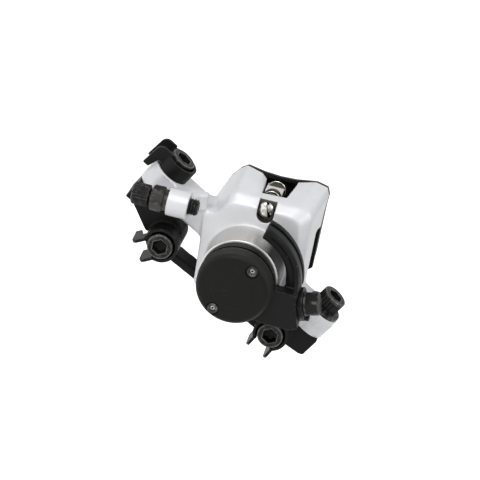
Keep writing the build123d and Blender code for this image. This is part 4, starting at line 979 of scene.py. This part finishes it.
turned("arm_cap_screws_turned", screw_places, cap_screw, CAP_SCREW, "arm", "arm_cap_screws", sides=60)
recess = [(SCREW_RECESS, SCREW_HEAD + 0.6), (SCREW_TOP + 1.8, SCREW_HEAD + 0.6)]
cut_out(cap, lathe("recess_cutter", screw_places, recess, CAP, sides=60))
glint = [(0.3, hexagon(1.5)), (0.6, hexagon(1.5)), (0.66, hexagon(1.1)), (0.5, 0.35), (0.45, 0.1)]
turned("cap_screw_socket_glints", screw_places, glint, PIN, "arm", sides=24)


# Background shaders
def seen_ray(tree):
    # One for rays that show the background: straight from the camera, by a reflection or through glass
    path = tree.nodes.new("ShaderNodeLightPath")
    seen = path.outputs["Is Camera Ray"]
    for name in ("Is Glossy Ray", "Is Transmission Ray"):
        seen = calculate(tree, "MAXIMUM", seen, path.outputs[name])
    return seen


def join_shaders(tree, kind, *values):
    joined = tree.nodes.new("ShaderNode" + kind)
    for socket, value in zip(joined.inputs, values):
        feed(tree, socket, value)
    return joined.outputs["Shader"]


# Floor in metres, well below the part, which hangs on its bracket
FLOOR_HALF = 3.0
FLOOR_HEIGHT = -0.11
corners = [(x * FLOOR_HALF, y * FLOOR_HALF, FLOOR_HEIGHT) for x, y in ((-1, -1), (1, -1), (1, 1), (-1, 1))]
floor_mesh = bpy.data.meshes.new("floor")
floor_mesh.from_pydata(corners, [], [(0, 1, 2, 3)])
floor = new_object("floor", floor_mesh)
floor_paint, tree, matt = shader("floor_paint", (0.8, 0.8, 0.8), 0.9, specular=0.1)
glow = add_node(tree, "Emission", {"Strength": 0.8}).outputs["Emission"]
dark = add_node(tree, "Emission", {"Strength": 0.0}).outputs["Emission"]
shown = join_shaders(tree, "MixShader", seen_ray(tree), dark, glow)
lit = join_shaders(tree, "AddShader", matt.outputs["BSDF"], shown)
feed(tree, tree.nodes["Material Output"].inputs["Surface"], lit)
floor.data.materials.append(floor_paint)

# Studio light: a room that lights softly and shows white, and three lamps set by the camera's directions.
# Their places and sizes are in metres.
ROOM_LIGHT = 0.34
LIT_MIDDLE = Vector((0.0, -0.015, 0.018))
LAMP_REACH = 0.9
world = bpy.data.worlds.new("room")
bpy.context.scene.world = world
world.use_nodes = True
tree = world.node_tree
room = tree.nodes["Background"].outputs["Background"]
feed(tree, room.node.inputs["Color"], (1.0, 1.0, 1.0))
feed(tree, room.node.inputs["Strength"], ROOM_LIGHT)
white = add_node(tree, "Background", {"Strength": 1.0}).outputs["Background"]
shown = join_shaders(tree, "MixShader", seen_ray(tree), room, white)
feed(tree, tree.nodes["World Output"].inputs["Surface"], shown)


def lamp(name, right, up, back, size, power):
    light = bpy.data.lights.new(name, "AREA")
    light.shape = "DISK"
    light.size = size
    light.energy = power
    towards = (VIEW_RIGHT * right + VIEW_UP * up + VIEW_BACK * back) * LAMP_REACH
    stand = new_object(name, light)
    stand.location = LIT_MIDDLE + towards
    stand.rotation_euler = towards.to_track_quat("Z", "Y").to_euler()


lamp("key", right=-0.1, up=0.55, back=0.8, size=0.5, power=4.15)
lamp("fill", right=0.8, up=0.1, back=0.6, size=0.6, power=2.7)
lamp("left", right=-0.9, up=0.2, back=0.4, size=0.6, power=0.85)
